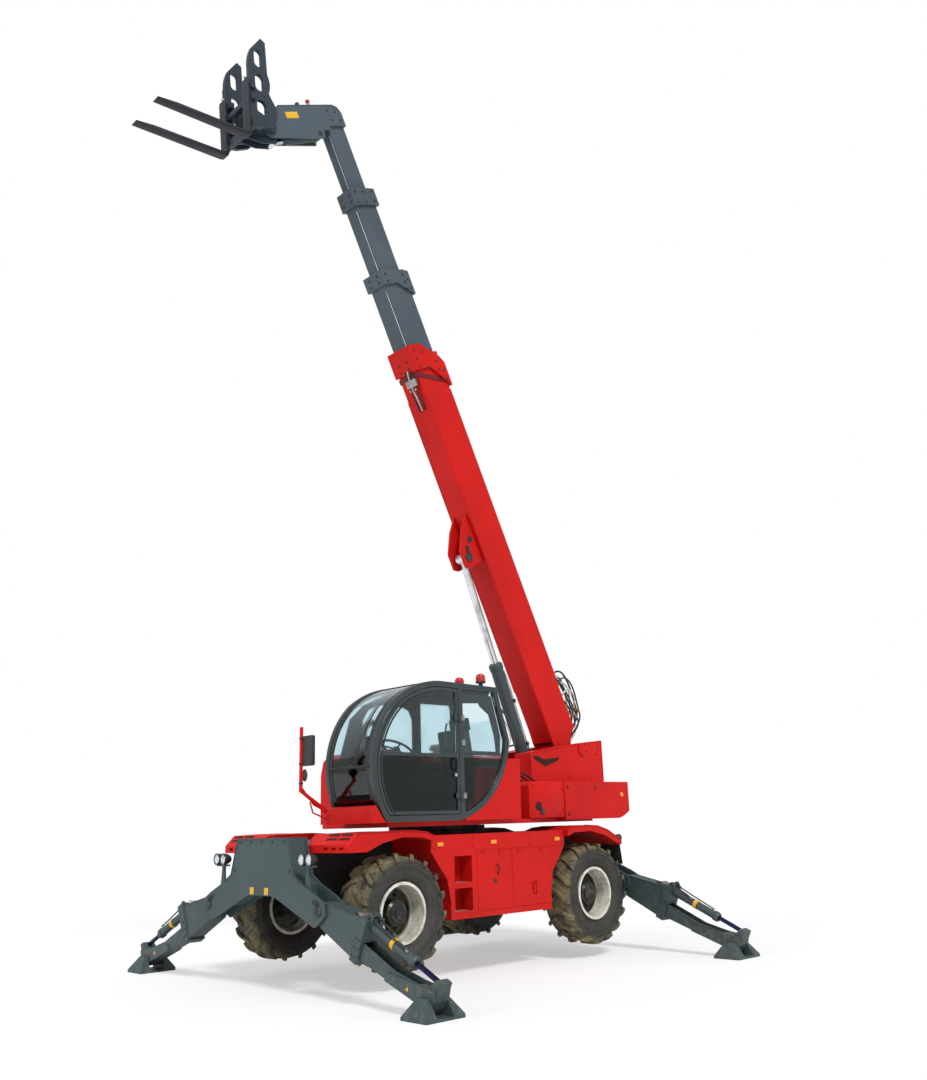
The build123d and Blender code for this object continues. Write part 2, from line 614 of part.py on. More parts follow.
# === lamps =====================================================================================
LAMP_X, LAMP_Y, LAMP_Z, LAMP_R = 2440.0, 800.0, 1270.0, 62.0
POST_T, POST_LOW = 24.0, 960.0
LAMP_SECTION = [(-70, 0), (-70, 44), (-10, 44), (-10, LAMP_R), (24, LAMP_R), (24, 0)]
with BuildPart() as lamps:
    for side in (1, -1):
        for dy in (-64, 64):
            with BuildSketch(Plane.XY.offset(LAMP_Z)):
                # from the back of the bowl to its lens: x, radius
                face_of([(LAMP_X + x, side * LAMP_Y + dy + r) for x, r in LAMP_SECTION])
            revolve(axis=Axis((LAMP_X, side * LAMP_Y + dy, LAMP_Z), (1, 0, 0)))
        with BuildSketch(yz(OUT_X + plate_in - SEAT - POST_T)):
            face_of([
                (side * (LAMP_Y - 40), LAMP_Z), (side * (LAMP_Y + 20), LAMP_Z), (side * (LAMP_Y + 40), POST_LOW),
                (side * (LAMP_Y - 60), POST_LOW),
            ])
        extrude(amount=POST_T)
save("headlamps", lamps.part)

# === slew ring =================================================================================
with BuildPart() as slew_ring:
    with BuildSketch(Plane.XY.offset(FRAME_TOP + SEAT)):
        Circle(RING_R - 110)
    extrude(amount=RING_TOP - FRAME_TOP - 2 * SEAT)
save("slew_ring", slew_ring.part)

# === turret frame ==============================================================================
with BuildPart() as turret:
    with BuildSketch(Plane.XY.offset(RING_TOP)):
        base_step, lid_end = CW_FRONT_X + 10, HOOD_X1 + 20
        face_of([(-2200, -600), (-2200, 600), (base_step, 600), (base_step, 800), (-700, 900), (1500, CAB_OUT_Y - 70),
                 (1640, CAB_OUT_Y - 70), (1640, 330), (lid_end, 300), (lid_end, -HOOD_OUT_Y + 70),
                 (base_step, -HOOD_OUT_Y + 70), (base_step, -600)])
    extrude(amount=DECK_TOP - RING_TOP)
    for side in (1, -1):
        inner, outer = CHANNEL_HALF_W, CHANNEL_HALF_W + CHEEK_T
        with BuildSketch(xz(outer if side > 0 else -inner)):
            face_of([
                (CHEEK_FRONT_X, RING_TOP + 10), (CHEEK_FRONT_X, CHEEK_FRONT_TOP), (-2050, CHEEK_REAR_TOP - 60),
                (CHEEK_REAR_X, CHEEK_REAR_TOP), (CHEEK_REAR_X, RING_TOP + 10),
            ])
        extrude(amount=CHEEK_T)
        with BuildSketch(xz(POD_OUT_Y if side > 0 else -outer)):
            face_of([
                (CHEEK_FRONT_X, RING_TOP + 10), (CHEEK_FRONT_X, CHEEK_FRONT_TOP), (-2050, CHEEK_REAR_TOP - 60),
                (CHEEK_REAR_X, CHEEK_REAR_TOP), (CHEEK_REAR_X, CW_TOP + SEAT), (CW_FRONT_X + 30, CW_TOP + SEAT),
                (CW_FRONT_X + 30, RING_TOP + 10),
            ])
        extrude(amount=POD_OUT_Y - outer)
    # upright wall beside the engine, with the knuckles and pins of the lid
    with BuildSketch(yz(HOOD_X0)):
        wall_top = HOOD_TOP - HOOD_T - 8
        face_of([(-HOOD_IN_Y - HOOD_T, DECK_TOP - 5), (-HOOD_IN_Y, DECK_TOP - 5), (-HOOD_IN_Y, wall_top),
                 (-HOOD_IN_Y - HOOD_T, wall_top)])
    extrude(amount=HOOD_X1 - HOOD_X0)
    for x in HOOD_HINGE_XS:
        for side in (1, -1):
            with BuildSketch(yz(x + side * (HOOD_KNUCKLE_L / 2 + 2))):
                with Locations((-HOOD_HINGE_Y, HOOD_HINGE_Z)):
                    Circle(HINGE_R)
                face_of([(-HOOD_IN_Y - 8, wall_top - 30), (-HOOD_HINGE_Y, wall_top - 30),
                         (-HOOD_HINGE_Y + HINGE_R - 1, HOOD_HINGE_Z - 4), (-HOOD_HINGE_Y, HOOD_HINGE_Z),
                         (-HOOD_IN_Y + 1, HOOD_HINGE_Z - 4), (-HOOD_IN_Y + 1, wall_top), (-HOOD_IN_Y - 8, wall_top)])
            extrude(amount=side * 40)
        with BuildSketch(yz(x - HOOD_KNUCKLE_L / 2 - 20)):
            with Locations((-HOOD_HINGE_Y, HOOD_HINGE_Z)):
                Circle(HINGE_PIN_R)
        extrude(amount=HOOD_KNUCKLE_L + 40)
    # pins of the boom and of the lift cylinder
    for centre, radius in ((BOOM_PIVOT, BOOM_PIN_R), (LIFT_BASE, BOOM_PIN_R)):
        with BuildSketch(xz(CHANNEL_HALF_W + 5)):
            with Locations((centre.X, centre.Z)):
                Circle(radius)
        extrude(amount=2 * (CHANNEL_HALF_W + 5))
save("turret_frame", turret.part)

# === counterweight =============================================================================
with BuildPart() as counterweight:
    tail = sqrt(CW_TAIL_R**2 - CW_HALF_W**2)
    # side outline, rounded at the tail
    with BuildSketch(xz(CW_HALF_W)):
        with BuildLine():
            Line((CW_FRONT_X, CW_LOW), (0.78 * -CW_TAIL_R, CW_LOW))
            ThreePointArc((0.78 * -CW_TAIL_R, CW_LOW), (0.93 * -CW_TAIL_R, CW_LOW + 75),
                          (-CW_TAIL_R, CW_LOW + 0.6 * (CW_TOP - CW_LOW)))
            ThreePointArc((-CW_TAIL_R, CW_LOW + 0.6 * (CW_TOP - CW_LOW)), (-CW_TAIL_R + 18, CW_TOP - 45),
                          (-CW_TAIL_R + 75, CW_TOP))
            Line((-CW_TAIL_R + 75, CW_TOP), (CW_FRONT_X, CW_TOP))
            Line((CW_FRONT_X, CW_TOP), (CW_FRONT_X, CW_LOW))
        make_face()
    extrude(amount=2 * CW_HALF_W)
    # seen from above, its tail is an arc round the slew axis
    with BuildSketch(Plane.XY.offset(CW_LOW)):
        with BuildLine():
            Line((-tail, CW_HALF_W), (CW_FRONT_X, CW_HALF_W))
            Line((CW_FRONT_X, CW_HALF_W), (CW_FRONT_X, -CW_HALF_W))
            Line((CW_FRONT_X, -CW_HALF_W), (-tail, -CW_HALF_W))
            ThreePointArc((-tail, -CW_HALF_W), (-CW_TAIL_R, 0), (-tail, CW_HALF_W))
        make_face()
    extrude(amount=CW_TOP - CW_LOW, mode=Mode.INTERSECT)
    # passage of the boom's cheeks, as deep as they reach, and room over the deck
    with Locations(((CW_FRONT_X + CHEEK_REAR_X) / 2, 0, (CW_TOP + CW_LOW) / 2)):
        Box(CW_FRONT_X - CHEEK_REAR_X, 2 * (CHANNEL_HALF_W + CHEEK_T + SEAT), CW_TOP, mode=Mode.SUBTRACT)
    with Locations((CW_FRONT_X - 450, 0, CW_LOW)):
        Box(1000, 1260, 2 * (RING_TOP + BASE_T - CW_LOW), mode=Mode.SUBTRACT)
save("counterweight", counterweight.part)

# === engine hood and engine ====================================================================
hood_low, hood_edge_y = DECK_TOP + SEAT, HOOD_IN_Y + HOOD_T + SEAT
hood_section = [
    (-hood_edge_y, hood_low), (-hood_edge_y, HOOD_TOP - HOOD_T), (-HOOD_IN_Y - 1, HOOD_TOP - HOOD_T),
    (-HOOD_IN_Y - 1, HOOD_TOP), (-HOOD_OUT_Y + 190, HOOD_TOP), (-HOOD_OUT_Y + 50, HOOD_TOP - 70),
    (-HOOD_OUT_Y, HOOD_TOP - 230), (-HOOD_OUT_Y, hood_low),
]
with BuildPart() as hood:
    with BuildSketch(yz(HOOD_X0)):
        face_of(hood_section)
    extrude(amount=HOOD_X1 - HOOD_X0)
    with BuildSketch(yz(HOOD_X0 + HOOD_T)):
        face_of([
            (-HOOD_IN_Y, hood_low - 1), (-HOOD_IN_Y, HOOD_TOP - HOOD_T),
            (-HOOD_OUT_Y + 200, HOOD_TOP - HOOD_T), (-HOOD_OUT_Y + 70, HOOD_TOP - 80 - HOOD_T),
            (-HOOD_OUT_Y + HOOD_T, HOOD_TOP - 240), (-HOOD_OUT_Y + HOOD_T, hood_low - 1),
        ])
    extrude(amount=HOOD_X1 - HOOD_X0 - 2 * HOOD_T, mode=Mode.SUBTRACT)
    # louvres: grooves with sloping floors, in two fields on the side and one on the rear end
    groove = [(0, 0), (0, LOUVRE_H), (LOUVRE_DEPTH, 0)]
    for x in LOUVRE_XS:
        for k in range(LOUVRES):
            z = LOUVRE_Z0 + k * LOUVRE_PITCH
            with BuildSketch(yz(x)):
                face_of([(-HOOD_OUT_Y + y, z + up) for y, up in groove])
            extrude(amount=LOUVRE_L, mode=Mode.SUBTRACT)
            if x == LOUVRE_XS[0]:
                with BuildSketch(xz(-HOOD_IN_Y - 180)):
                    face_of([(HOOD_X0 + y, z + up) for y, up in groove])
                extrude(amount=LOUVRE_L, mode=Mode.SUBTRACT)
    for x in HOOD_HINGE_XS:
        with BuildSketch(yz(x - HOOD_KNUCKLE_L / 2)):
            with Locations((-HOOD_HINGE_Y, HOOD_HINGE_Z)):
                Circle(HINGE_R)
            face_of([(-HOOD_IN_Y - 5, HOOD_TOP - 18), (-HOOD_HINGE_Y, HOOD_TOP - 8), (-HOOD_HINGE_Y, HOOD_TOP),
                     (-HOOD_IN_Y - 5, HOOD_TOP)])
            with Locations((-HOOD_HINGE_Y, HOOD_HINGE_Z)):
                Circle(HINGE_PIN_R + PIN_PLAY, mode=Mode.SUBTRACT)
        extrude(amount=HOOD_KNUCKLE_L)
save("engine_hood", hood.part)

with BuildPart() as engine:
    with Locations((-150, -720, DECK_TOP + SEAT + 290)):
        Box(1300, 560, 580)
save("engine_block", engine.part)

# === cab =======================================================================================
def cab_outline(inset):
    """Side outline of the cab, moved inwards by inset, in the sketch being drawn."""
    with BuildLine() as outline:
        Line((700, CAB_FLOOR_Z), (1700, CAB_FLOOR_Z))
        ThreePointArc((1700, CAB_FLOOR_Z), (1890, 2200), (1590, 2850))
        ThreePointArc((1590, 2850), (1290, 3020), (940, CAB_ROOF_Z))
        Line((940, CAB_ROOF_Z), (60, CAB_ROOF_Z - 15))
        Line((60, CAB_ROOF_Z - 15), (-125, 2480))
        ThreePointArc((-125, 2480), (110, 1925), (700, CAB_FLOOR_Z))
    base = make_face(outline.edges(), mode=Mode.PRIVATE)
    if inset:
        offset(base, amount=-inset)
    else:
        add(base)


def cab_ring(y_high, depth, outer, inner):
    """Hoop between two insets of the cab's outline, extruded from y_high towards -Y."""
    with BuildPart() as ring:
        with BuildSketch(xz(y_high)):
            cab_outline(outer)
            with BuildSketch(mode=Mode.SUBTRACT):
                cab_outline(inner)
        extrude(amount=depth)
    return ring.part


def cab_fill(y_high, depth, inset):
    """Solid of the cab's outline at one inset."""
    with BuildPart() as fill:
        with BuildSketch(xz(y_high)):
            cab_outline(inset)
        extrude(amount=depth)
    return fill.part


def cab_pane(y_high, depth, inset, x0, x1, z0, z1):
    """Part of the cab's outline between two X and two Z, as a pane, a window or a door."""
    with BuildPart() as pane:
        add(cab_fill(y_high, depth, inset))
        with Locations(((x0 + x1) / 2, y_high, (z0 + z1) / 2)):
            Box(x1 - x0, 4 * depth, z1 - z0, mode=Mode.INTERSECT)
    return pane.part


def rear_window():
    """Pane of the rear, following the outline between the hoops."""
    with BuildPart() as pane:
        add(cab_ring(inside_y, inside_w, 10, 10 + GLASS_T))
        with BuildSketch(xz(2000)):
            face_of([(60, 3200), (60, 2980), (-40, 2980), (-40, 2150), (-300, 2150), (-300, 1400),
                     (2200, 1400), (2200, 3200)])
        extrude(amount=3000, mode=Mode.SUBTRACT)
    return pane.part


DOOR_X0 = POST_X + 32 + DOOR_PLAY
HINGE_X = DOOR_X0 - DOOR_PLAY / 2
with BuildPart() as cab:
    add(cab_ring(CAB_OUT_Y, HOOP_W, 0, HOOP_T))
    add(cab_ring(CAB_IN_Y + HOOP_W, HOOP_W, 0, HOOP_T))
    width = CAB_OUT_Y - CAB_IN_Y
    middle_y = (CAB_OUT_Y + CAB_IN_Y) / 2
    # floor, roof, rear header and lower rear wall join the hoops
    with Locations((1190, middle_y, CAB_FLOOR_Z + 25)):
        Box(980, width - 2, 50)
    with Locations((490, middle_y, CAB_ROOF_Z - 35)):
        Box(860, width - 2, 40)
    for y in (CAB_OUT_Y - HOOP_W / 2, CAB_IN_Y + HOOP_W / 2):
        with Locations((POST_X, y, (CAB_FLOOR_Z + CAB_ROOF_Z) / 2)):
            Box(64, HOOP_W, CAB_ROOF_Z - CAB_FLOOR_Z - 60)
    # bowed grab rail behind the cab
    for start, end in zip(RAIL_POINTS, RAIL_POINTS[1:]):
        tall = hypot(end[0] - start[0], end[1] - start[1])
        way = ((end[0] - start[0]) / tall, 0, (end[1] - start[1]) / tall)
        with BuildSketch(Plane(origin=(start[0], CAB_OUT_Y - HOOP_W / 2, start[1]), x_dir=(0, 1, 0), z_dir=way)):
            RegularPolygon(RAIL_R, 8)
        extrude(amount=tall + RAIL_R / 2)
    # brackets and pins that the door's hinges turn on
    for z in HINGE_ZS:
        with Locations((HINGE_X, CAB_OUT_Y + HINGE_OUT, z)):
            Cylinder(HINGE_PIN_R, 2 * HINGE_HALF_H + 30)
        for up in (1, -1):
            with Locations((HINGE_X, CAB_OUT_Y + HINGE_OUT, z + up * (HINGE_HALF_H + 10))):
                Cylinder(HINGE_R, 14)
            with Locations((HINGE_X - 30, CAB_OUT_Y + 5, z + up * (HINGE_HALF_H + 10))):
                Box(52, 18, 14)
save("cab_frame", cab.part)

inside_y = CAB_OUT_Y - HOOP_W - SEAT
inside_w = CAB_OUT_Y - CAB_IN_Y - 2 * HOOP_W - 2 * SEAT
with BuildPart() as glass:
    # windscreen: a strip of the outline between the hoops, from above the floor to the roof
    add(cab_ring(inside_y, inside_w, 10, 10 + GLASS_T))
    with Locations((390, 750, 2400)):
        Box(1300, 1200, 2400, mode=Mode.SUBTRACT)
    with Locations((1500, 750, CAB_FLOOR_Z)):
        Box(1600, 1200, 2 * 190, mode=Mode.SUBTRACT)
    add(rear_window())
    # quarter window behind the door, and the far side's window
    for y, x0, x1 in ((CAB_OUT_Y - 24, -300, POST_X - 32 - SEAT), (CAB_IN_Y + 32, -300, POST_X - 32 - SEAT),
                      (CAB_IN_Y + 32, POST_X + 32 + SEAT, 2200)):
        add(cab_pane(y, GLASS_T, HOOP_T + SEAT, x0, x1, CAB_FLOOR_Z + 50 + SEAT, CAB_ROOF_Z))
save("cab_glass", glass.part)

# === cab door ==================================================================================
door_inset = HOOP_T + DOOR_PLAY
DOOR_LOW = CAB_FLOOR_Z + 50 + DOOR_PLAY
with BuildPart() as door:
    add(cab_pane(CAB_OUT_Y, DOOR_T, door_inset, DOOR_X0, CAB_FAR_X, DOOR_LOW, CAB_ROOF_Z))
    for z0, z1 in ((DOOR_LOW + DOOR_RAIL, MID_RAIL_Z), (MID_RAIL_Z + DOOR_RAIL, CAB_ROOF_Z)):
        add(cab_pane(CAB_OUT_Y + 5, DOOR_T + 10, door_inset + DOOR_RAIL, DOOR_X0 + DOOR_RAIL, CAB_FAR_X, z0, z1),
            mode=Mode.SUBTRACT)
    for z in HINGE_ZS:
        with BuildSketch(Plane.XY.offset(z - HINGE_HALF_H)):
            with Locations((HINGE_X, CAB_OUT_Y + HINGE_OUT)):
                Circle(HINGE_R)
            with Locations((HINGE_X + 36, CAB_OUT_Y + 4)):
                Rectangle(64, 12)
            with Locations((HINGE_X, CAB_OUT_Y + HINGE_OUT)):
                Circle(HINGE_PIN_R + PIN_PLAY, mode=Mode.SUBTRACT)
        extrude(amount=2 * HINGE_HALF_H)
save("cab_door", door.part)

with BuildPart() as door_glass:
    for z0, z1 in ((DOOR_LOW + DOOR_RAIL + SEAT, MID_RAIL_Z - SEAT), (MID_RAIL_Z + DOOR_RAIL + SEAT, CAB_ROOF_Z)):
        add(cab_pane(CAB_OUT_Y - 14, GLASS_T, door_inset + DOOR_RAIL + SEAT, DOOR_X0 + DOOR_RAIL + SEAT, CAB_FAR_X,
                     z0, z1))
save("door_glass", door_glass.part)

# === inside the cab ============================================================================
floor_z = CAB_FLOOR_Z + 50 + SEAT
with BuildPart() as interior:
    with Locations((560, 750, floor_z + 130)):
        Box(420, 400, 260)
    with Locations((600, 750, floor_z + 325)):
        Box(500, 480, 130)
    with BuildSketch(xz(750 + 230)):
        face_of([(310, floor_z + 330), (430, floor_z + 330), (330, floor_z + 1000), (230, floor_z + 1000)])
    extrude(amount=460)
    with BuildSketch(xz(750 + 150)):
        face_of([(1330, floor_z), (1560, floor_z), (1500, floor_z + 640), (1380, floor_z + 700),
                 (1300, floor_z + 660)])
    extrude(amount=300)
save("cab_interior", interior.part)

# === beacons, mirror bracket and rail ==========================================================
BEACON_R = 70.0
with BuildPart() as beacons:
    for x, y in ((160, 1000), (160, 640)):
        with Locations((x, y, CAB_ROOF_Z - 15 + SEAT + 30)):
            Cylinder(26, 60)
        with Locations((x, y, CAB_ROOF_Z - 15 + SEAT + 60 + 55)):
            Cylinder(BEACON_R, 110)
save("beacons", beacons.part)

MIRROR_Y0, MIRROR_Y1 = 350.0, 380.0
with BuildPart() as front_box:
    with BuildSketch(xz(CAB_OUT_Y - 4)):
        face_of([(1655, CAB_FLOOR_Z - 5), (1880, CAB_FLOOR_Z - 5), (1910, CAB_FLOOR_Z + 160), (1845, CAB_FLOOR_Z + 170),
                 (1720, CAB_FLOOR_Z + 6)])
    extrude(amount=CAB_OUT_Y - CAB_IN_Y - 8)
    # mirror bracket
    with BuildSketch(xz(MIRROR_Y1)):
        face_of([(1880, CAB_FLOOR_Z + 100), (2210, 1925), (2230, 1935), (2230, 2600), (2205, 2600), (2205, 1950),
                 (1880, CAB_FLOOR_Z + 150)])
    extrude(amount=MIRROR_Y1 - MIRROR_Y0)
    with Locations((2190, 460, 2350)):
        Box(40, 160, 300)
    add(cab_fill(CAB_OUT_Y + 10, 1000, -SEAT), mode=Mode.SUBTRACT)
save("cab_front_box", front_box.part)

# === turret panel behind the cab ===============================================================
with BuildPart() as panel:
    with BuildSketch(xz(CAB_OUT_Y)):
        panel_low, panel_end = DECK_TOP + SEAT, POST_X - 32 - SEAT
        face_of([(-270, panel_low), (panel_end, panel_low), (panel_end, MID_RAIL_Z), (-290, MID_RAIL_Z)])
    extrude(amount=30)
    add(cab_fill(CAB_OUT_Y + 10, 60, -SEAT), mode=Mode.SUBTRACT)
save("rear_panel", panel.part)

# === boom ======================================================================================
def tube(width, height, start, end, plane_at=along_boom):
    """Hollow rectangular boom section between two stations."""
    with BuildPart() as made:
        with BuildSketch(plane_at(start)):
            RectangleRounded(width, height, 22)
            RectangleRounded(width - 2 * BOOM_WALL, height - 2 * BOOM_WALL, 10, mode=Mode.SUBTRACT)
        extrude(amount=end - start)
    return made.part


def collar(width, height, start, end, back_slant, front_slant):
    """Collar round a section's mouth; the slants move its upper corners back towards the foot."""
    half = height / 2 + COLLAR_GROW
    with BuildPart() as made:
        with BuildSketch(beside_boom(width / 2 + COLLAR_GROW)):
            face_of([
                (start, -half), (end, -half), (end, -half + 0.45 * height), (end - front_slant * 0.7, half - 60),
                (end - front_slant, half), (start - back_slant, half), (start, -half + 0.54 * height),
            ])
        extrude(amount=width + 2 * COLLAR_GROW)
        with BuildSketch(along_boom(start - back_slant - 20)):
            RectangleRounded(width - 2 * BOOM_WALL, height - 2 * BOOM_WALL, 10)
        extrude(amount=end - start + back_slant + 60, mode=Mode.SUBTRACT)
    return made.part


def pads(width, height, inner_w, inner_h, start):
    """Four wear pads inside a section's mouth, a running gap away from the section within."""
    with BuildPart() as made:
        for side in (1, -1):
            for across, wall, slide, share in ((0, width / 2 - BOOM_WALL, inner_w / 2 + RUN_GAP, 0.6 * inner_h),
                                               (1, height / 2 - BOOM_WALL, inner_h / 2 + RUN_GAP, 0.6 * inner_w)):
                thick, middle = wall + 1 - slide, side * (wall + 1 + slide) / 2
                with BuildSketch(along_boom(start)):
                    with Locations((0, middle) if across else (middle, 0)):
                        Rectangle(*((share, thick) if across else (thick, share)))
                extrude(amount=PAD_L)
    return made.part


with BuildPart() as boom_outer:
    add(tube(OUTER_W, OUTER_H, 0, OUTER_END))
    add(collar(OUTER_W, OUTER_H, 5300, 5640, 305, 320))
    add(pads(OUTER_W, OUTER_H, SECOND_W, SECOND_H, OUTER_END - PAD_L - 40))
    # foot: two cheeks down to the pivot
    for side in (1, -1):
        with BuildSketch(beside_boom(OUTER_W / 2 if side > 0 else -OUTER_W / 2 + FOOT_CHEEK_T)):
            face_of([(700, -200), (700, 150), (300, 230), (0, OUTER_H / 2), (-80, 120), (-300, 0), (-330, -150),
                     (-230, -240), (0, -OUTER_H / 2)])
        extrude(amount=FOOT_CHEEK_T)
    with BuildSketch(beside_boom(OUTER_W / 2)):
        with Locations((BOOM_PIVOT_S, BOOM_PIVOT_N)):
            Circle(BOOM_BOSS_R)
    extrude(amount=OUTER_W)
    with BuildSketch(beside_boom(OUTER_W)):
        with Locations((BOOM_PIVOT_S, BOOM_PIVOT_N)):
            Circle(BOOM_PIN_R + PIN_PLAY)
    extrude(amount=2 * OUTER_W, mode=Mode.SUBTRACT)
    # ears that hold the lift cylinder's rod
    for y in (LUG_EAR_Y + LUG_EAR_T, -LUG_EAR_Y):
        with BuildSketch(beside_boom(y)):
            face_of([(3300, -OUTER_H / 2 + 5), (3120, -430), (2860, -600), (2640, -600), (2600, -520),
                     (2620, -OUTER_H / 2 + 5)])
        extrude(amount=LUG_EAR_T)
save("boom_outer", boom_outer.part)

with BuildPart() as boom_second:
    add(tube(SECOND_W, SECOND_H, SECOND_START, SECOND_END - 20))
    add(collar(SECOND_W, SECOND_H, 6500, SECOND_END, 185, 60))
    add(pads(SECOND_W, SECOND_H, THIRD_W, THIRD_H, SECOND_END - PAD_L - 60))
save("boom_second", boom_second.part)

with BuildPart() as boom_third:
    add(tube(THIRD_W, THIRD_H, THIRD_START, THIRD_END - 20))
    add(collar(THIRD_W, THIRD_H, 7610, THIRD_END, 20, 20))
    add(pads(THIRD_W, THIRD_H, INNER_W, INNER_H, THIRD_END - PAD_L - 60))
save("boom_third", boom_third.part)

head_w_in = HEAD_W / 2 - HEAD_CHEEK_T
with BuildPart() as boom_head:
    add(tube(INNER_W, INNER_H, INNER_START, INNER_END))
    with BuildSketch(beside_boom(HEAD_W / 2)):
        with BuildLine():
            Line((8720, 170), (8880, 170))
            ThreePointArc((8880, 170), (8980, 120), (9015, 0))
            Line((9015, 0), (8975, -900))
            Line((8975, -900), (8810, -1190))
            ThreePointArc((8810, -1190), (8640, -1285), (8545, -1110))
            Line((8545, -1110), (8545, -290))
            Line((8545, -290), (8662, -250))
            Line((8662, -250), (8662, -130))
            Line((8662, -130), (8720, -130))
            Line((8720, -130), (8720, 170))
        make_face()
    extrude(amount=HEAD_W)
    # open from below between its cheeks, round the boss of the carriage's pin
    with BuildSketch(beside_boom(head_w_in)):
        face_of([(8400, -175), (8700, -175), (8900, -200), (8920, -860), (8870, -1000), (8850, -1350),
                 (8400, -1350)])
        with Locations((HEAD_PIVOT_S, HEAD_PIVOT_N)):
            Circle(HEAD_BOSS_R, mode=Mode.SUBTRACT)
    extrude(amount=2 * head_w_in, mode=Mode.SUBTRACT)
    # pin of the tilt cylinder
    with BuildSketch(beside_boom(HEAD_W / 2)):
        with Locations((TILT_BASE_S, TILT_BASE_N)):
            Circle(TILT_PIN_R)
    extrude(amount=HEAD_W)
    with BuildSketch(beside_boom(HEAD_W)):
        with Locations((HEAD_PIVOT_S, HEAD_PIVOT_N)):
            Circle(HEAD_PIN_R + PIN_PLAY)
    extrude(amount=2 * HEAD_W, mode=Mode.SUBTRACT)
save("boom_inner", boom_head.part)


# === hydraulic cylinders =======================================================================
def cylinder_pair(base, eye, barrel, rod, eye_size, tail, pin_r):
    """Barrel and rod lying from base to eye in the machine's middle plane."""
    barrel_r, barrel_l = barrel
    eye_r, eye_w = eye_size
    way = (eye - base).normalized()
    line = Plane(origin=base, x_dir=(0, 1, 0), z_dir=way)
    reach = (eye - base).length
    with BuildPart() as barrel_made:
        with BuildSketch(line):
            Circle(barrel_r)
        extrude(amount=barrel_l)
        with BuildSketch(line.offset(eye_r * 1.25)):
            Circle(rod + SEAT)
        extrude(amount=barrel_l, mode=Mode.SUBTRACT)
        with BuildSketch(Plane(origin=base + Vector(0, barrel_r + 1, 0), x_dir=(1, 0, 0), z_dir=(0, -1, 0))):
            Circle(eye_r * 1.15)
        extrude(amount=2 * barrel_r + 2, mode=Mode.SUBTRACT)
        with BuildSketch(Plane(origin=base + Vector(0, eye_w / 2, 0), x_dir=(1, 0, 0), z_dir=(0, -1, 0))):
            Circle(eye_r * 1.18)
            Circle(pin_r + PIN_PLAY, mode=Mode.SUBTRACT)
        extrude(amount=eye_w)
    with BuildPart() as rod_made:
        with BuildSketch(line.offset(barrel_l - tail)):
            Circle(rod)
        extrude(amount=reach - barrel_l + tail - eye_r * 0.6)
        with BuildSketch(Plane(origin=eye + Vector(0, eye_w / 2, 0), x_dir=(1, 0, 0), z_dir=(0, -1, 0))):
            Circle(eye_r)
            Circle(eye_r * 0.45, mode=Mode.SUBTRACT)
        extrude(amount=eye_w)
    return barrel_made.part, rod_made.part


lift = cylinder_pair(LIFT_BASE, LIFT_PIN, (LIFT_BARREL_R, LIFT_BARREL_L), LIFT_ROD_R, (LIFT_EYE_R, LIFT_EYE_W),
                     900.0, BOOM_PIN_R)
save("lift_barrel", lift[0])
save("lift_rod", lift[1])
tilt = cylinder_pair(TILT_BASE, TILT_PIN, (TILT_BARREL_R, TILT_BARREL_L), TILT_ROD_R, (TILT_EYE_R, TILT_EYE_W),
                     TILT_TAIL, TILT_PIN_R)
save("tilt_barrel", tilt[0])
save("tilt_rod", tilt[1])

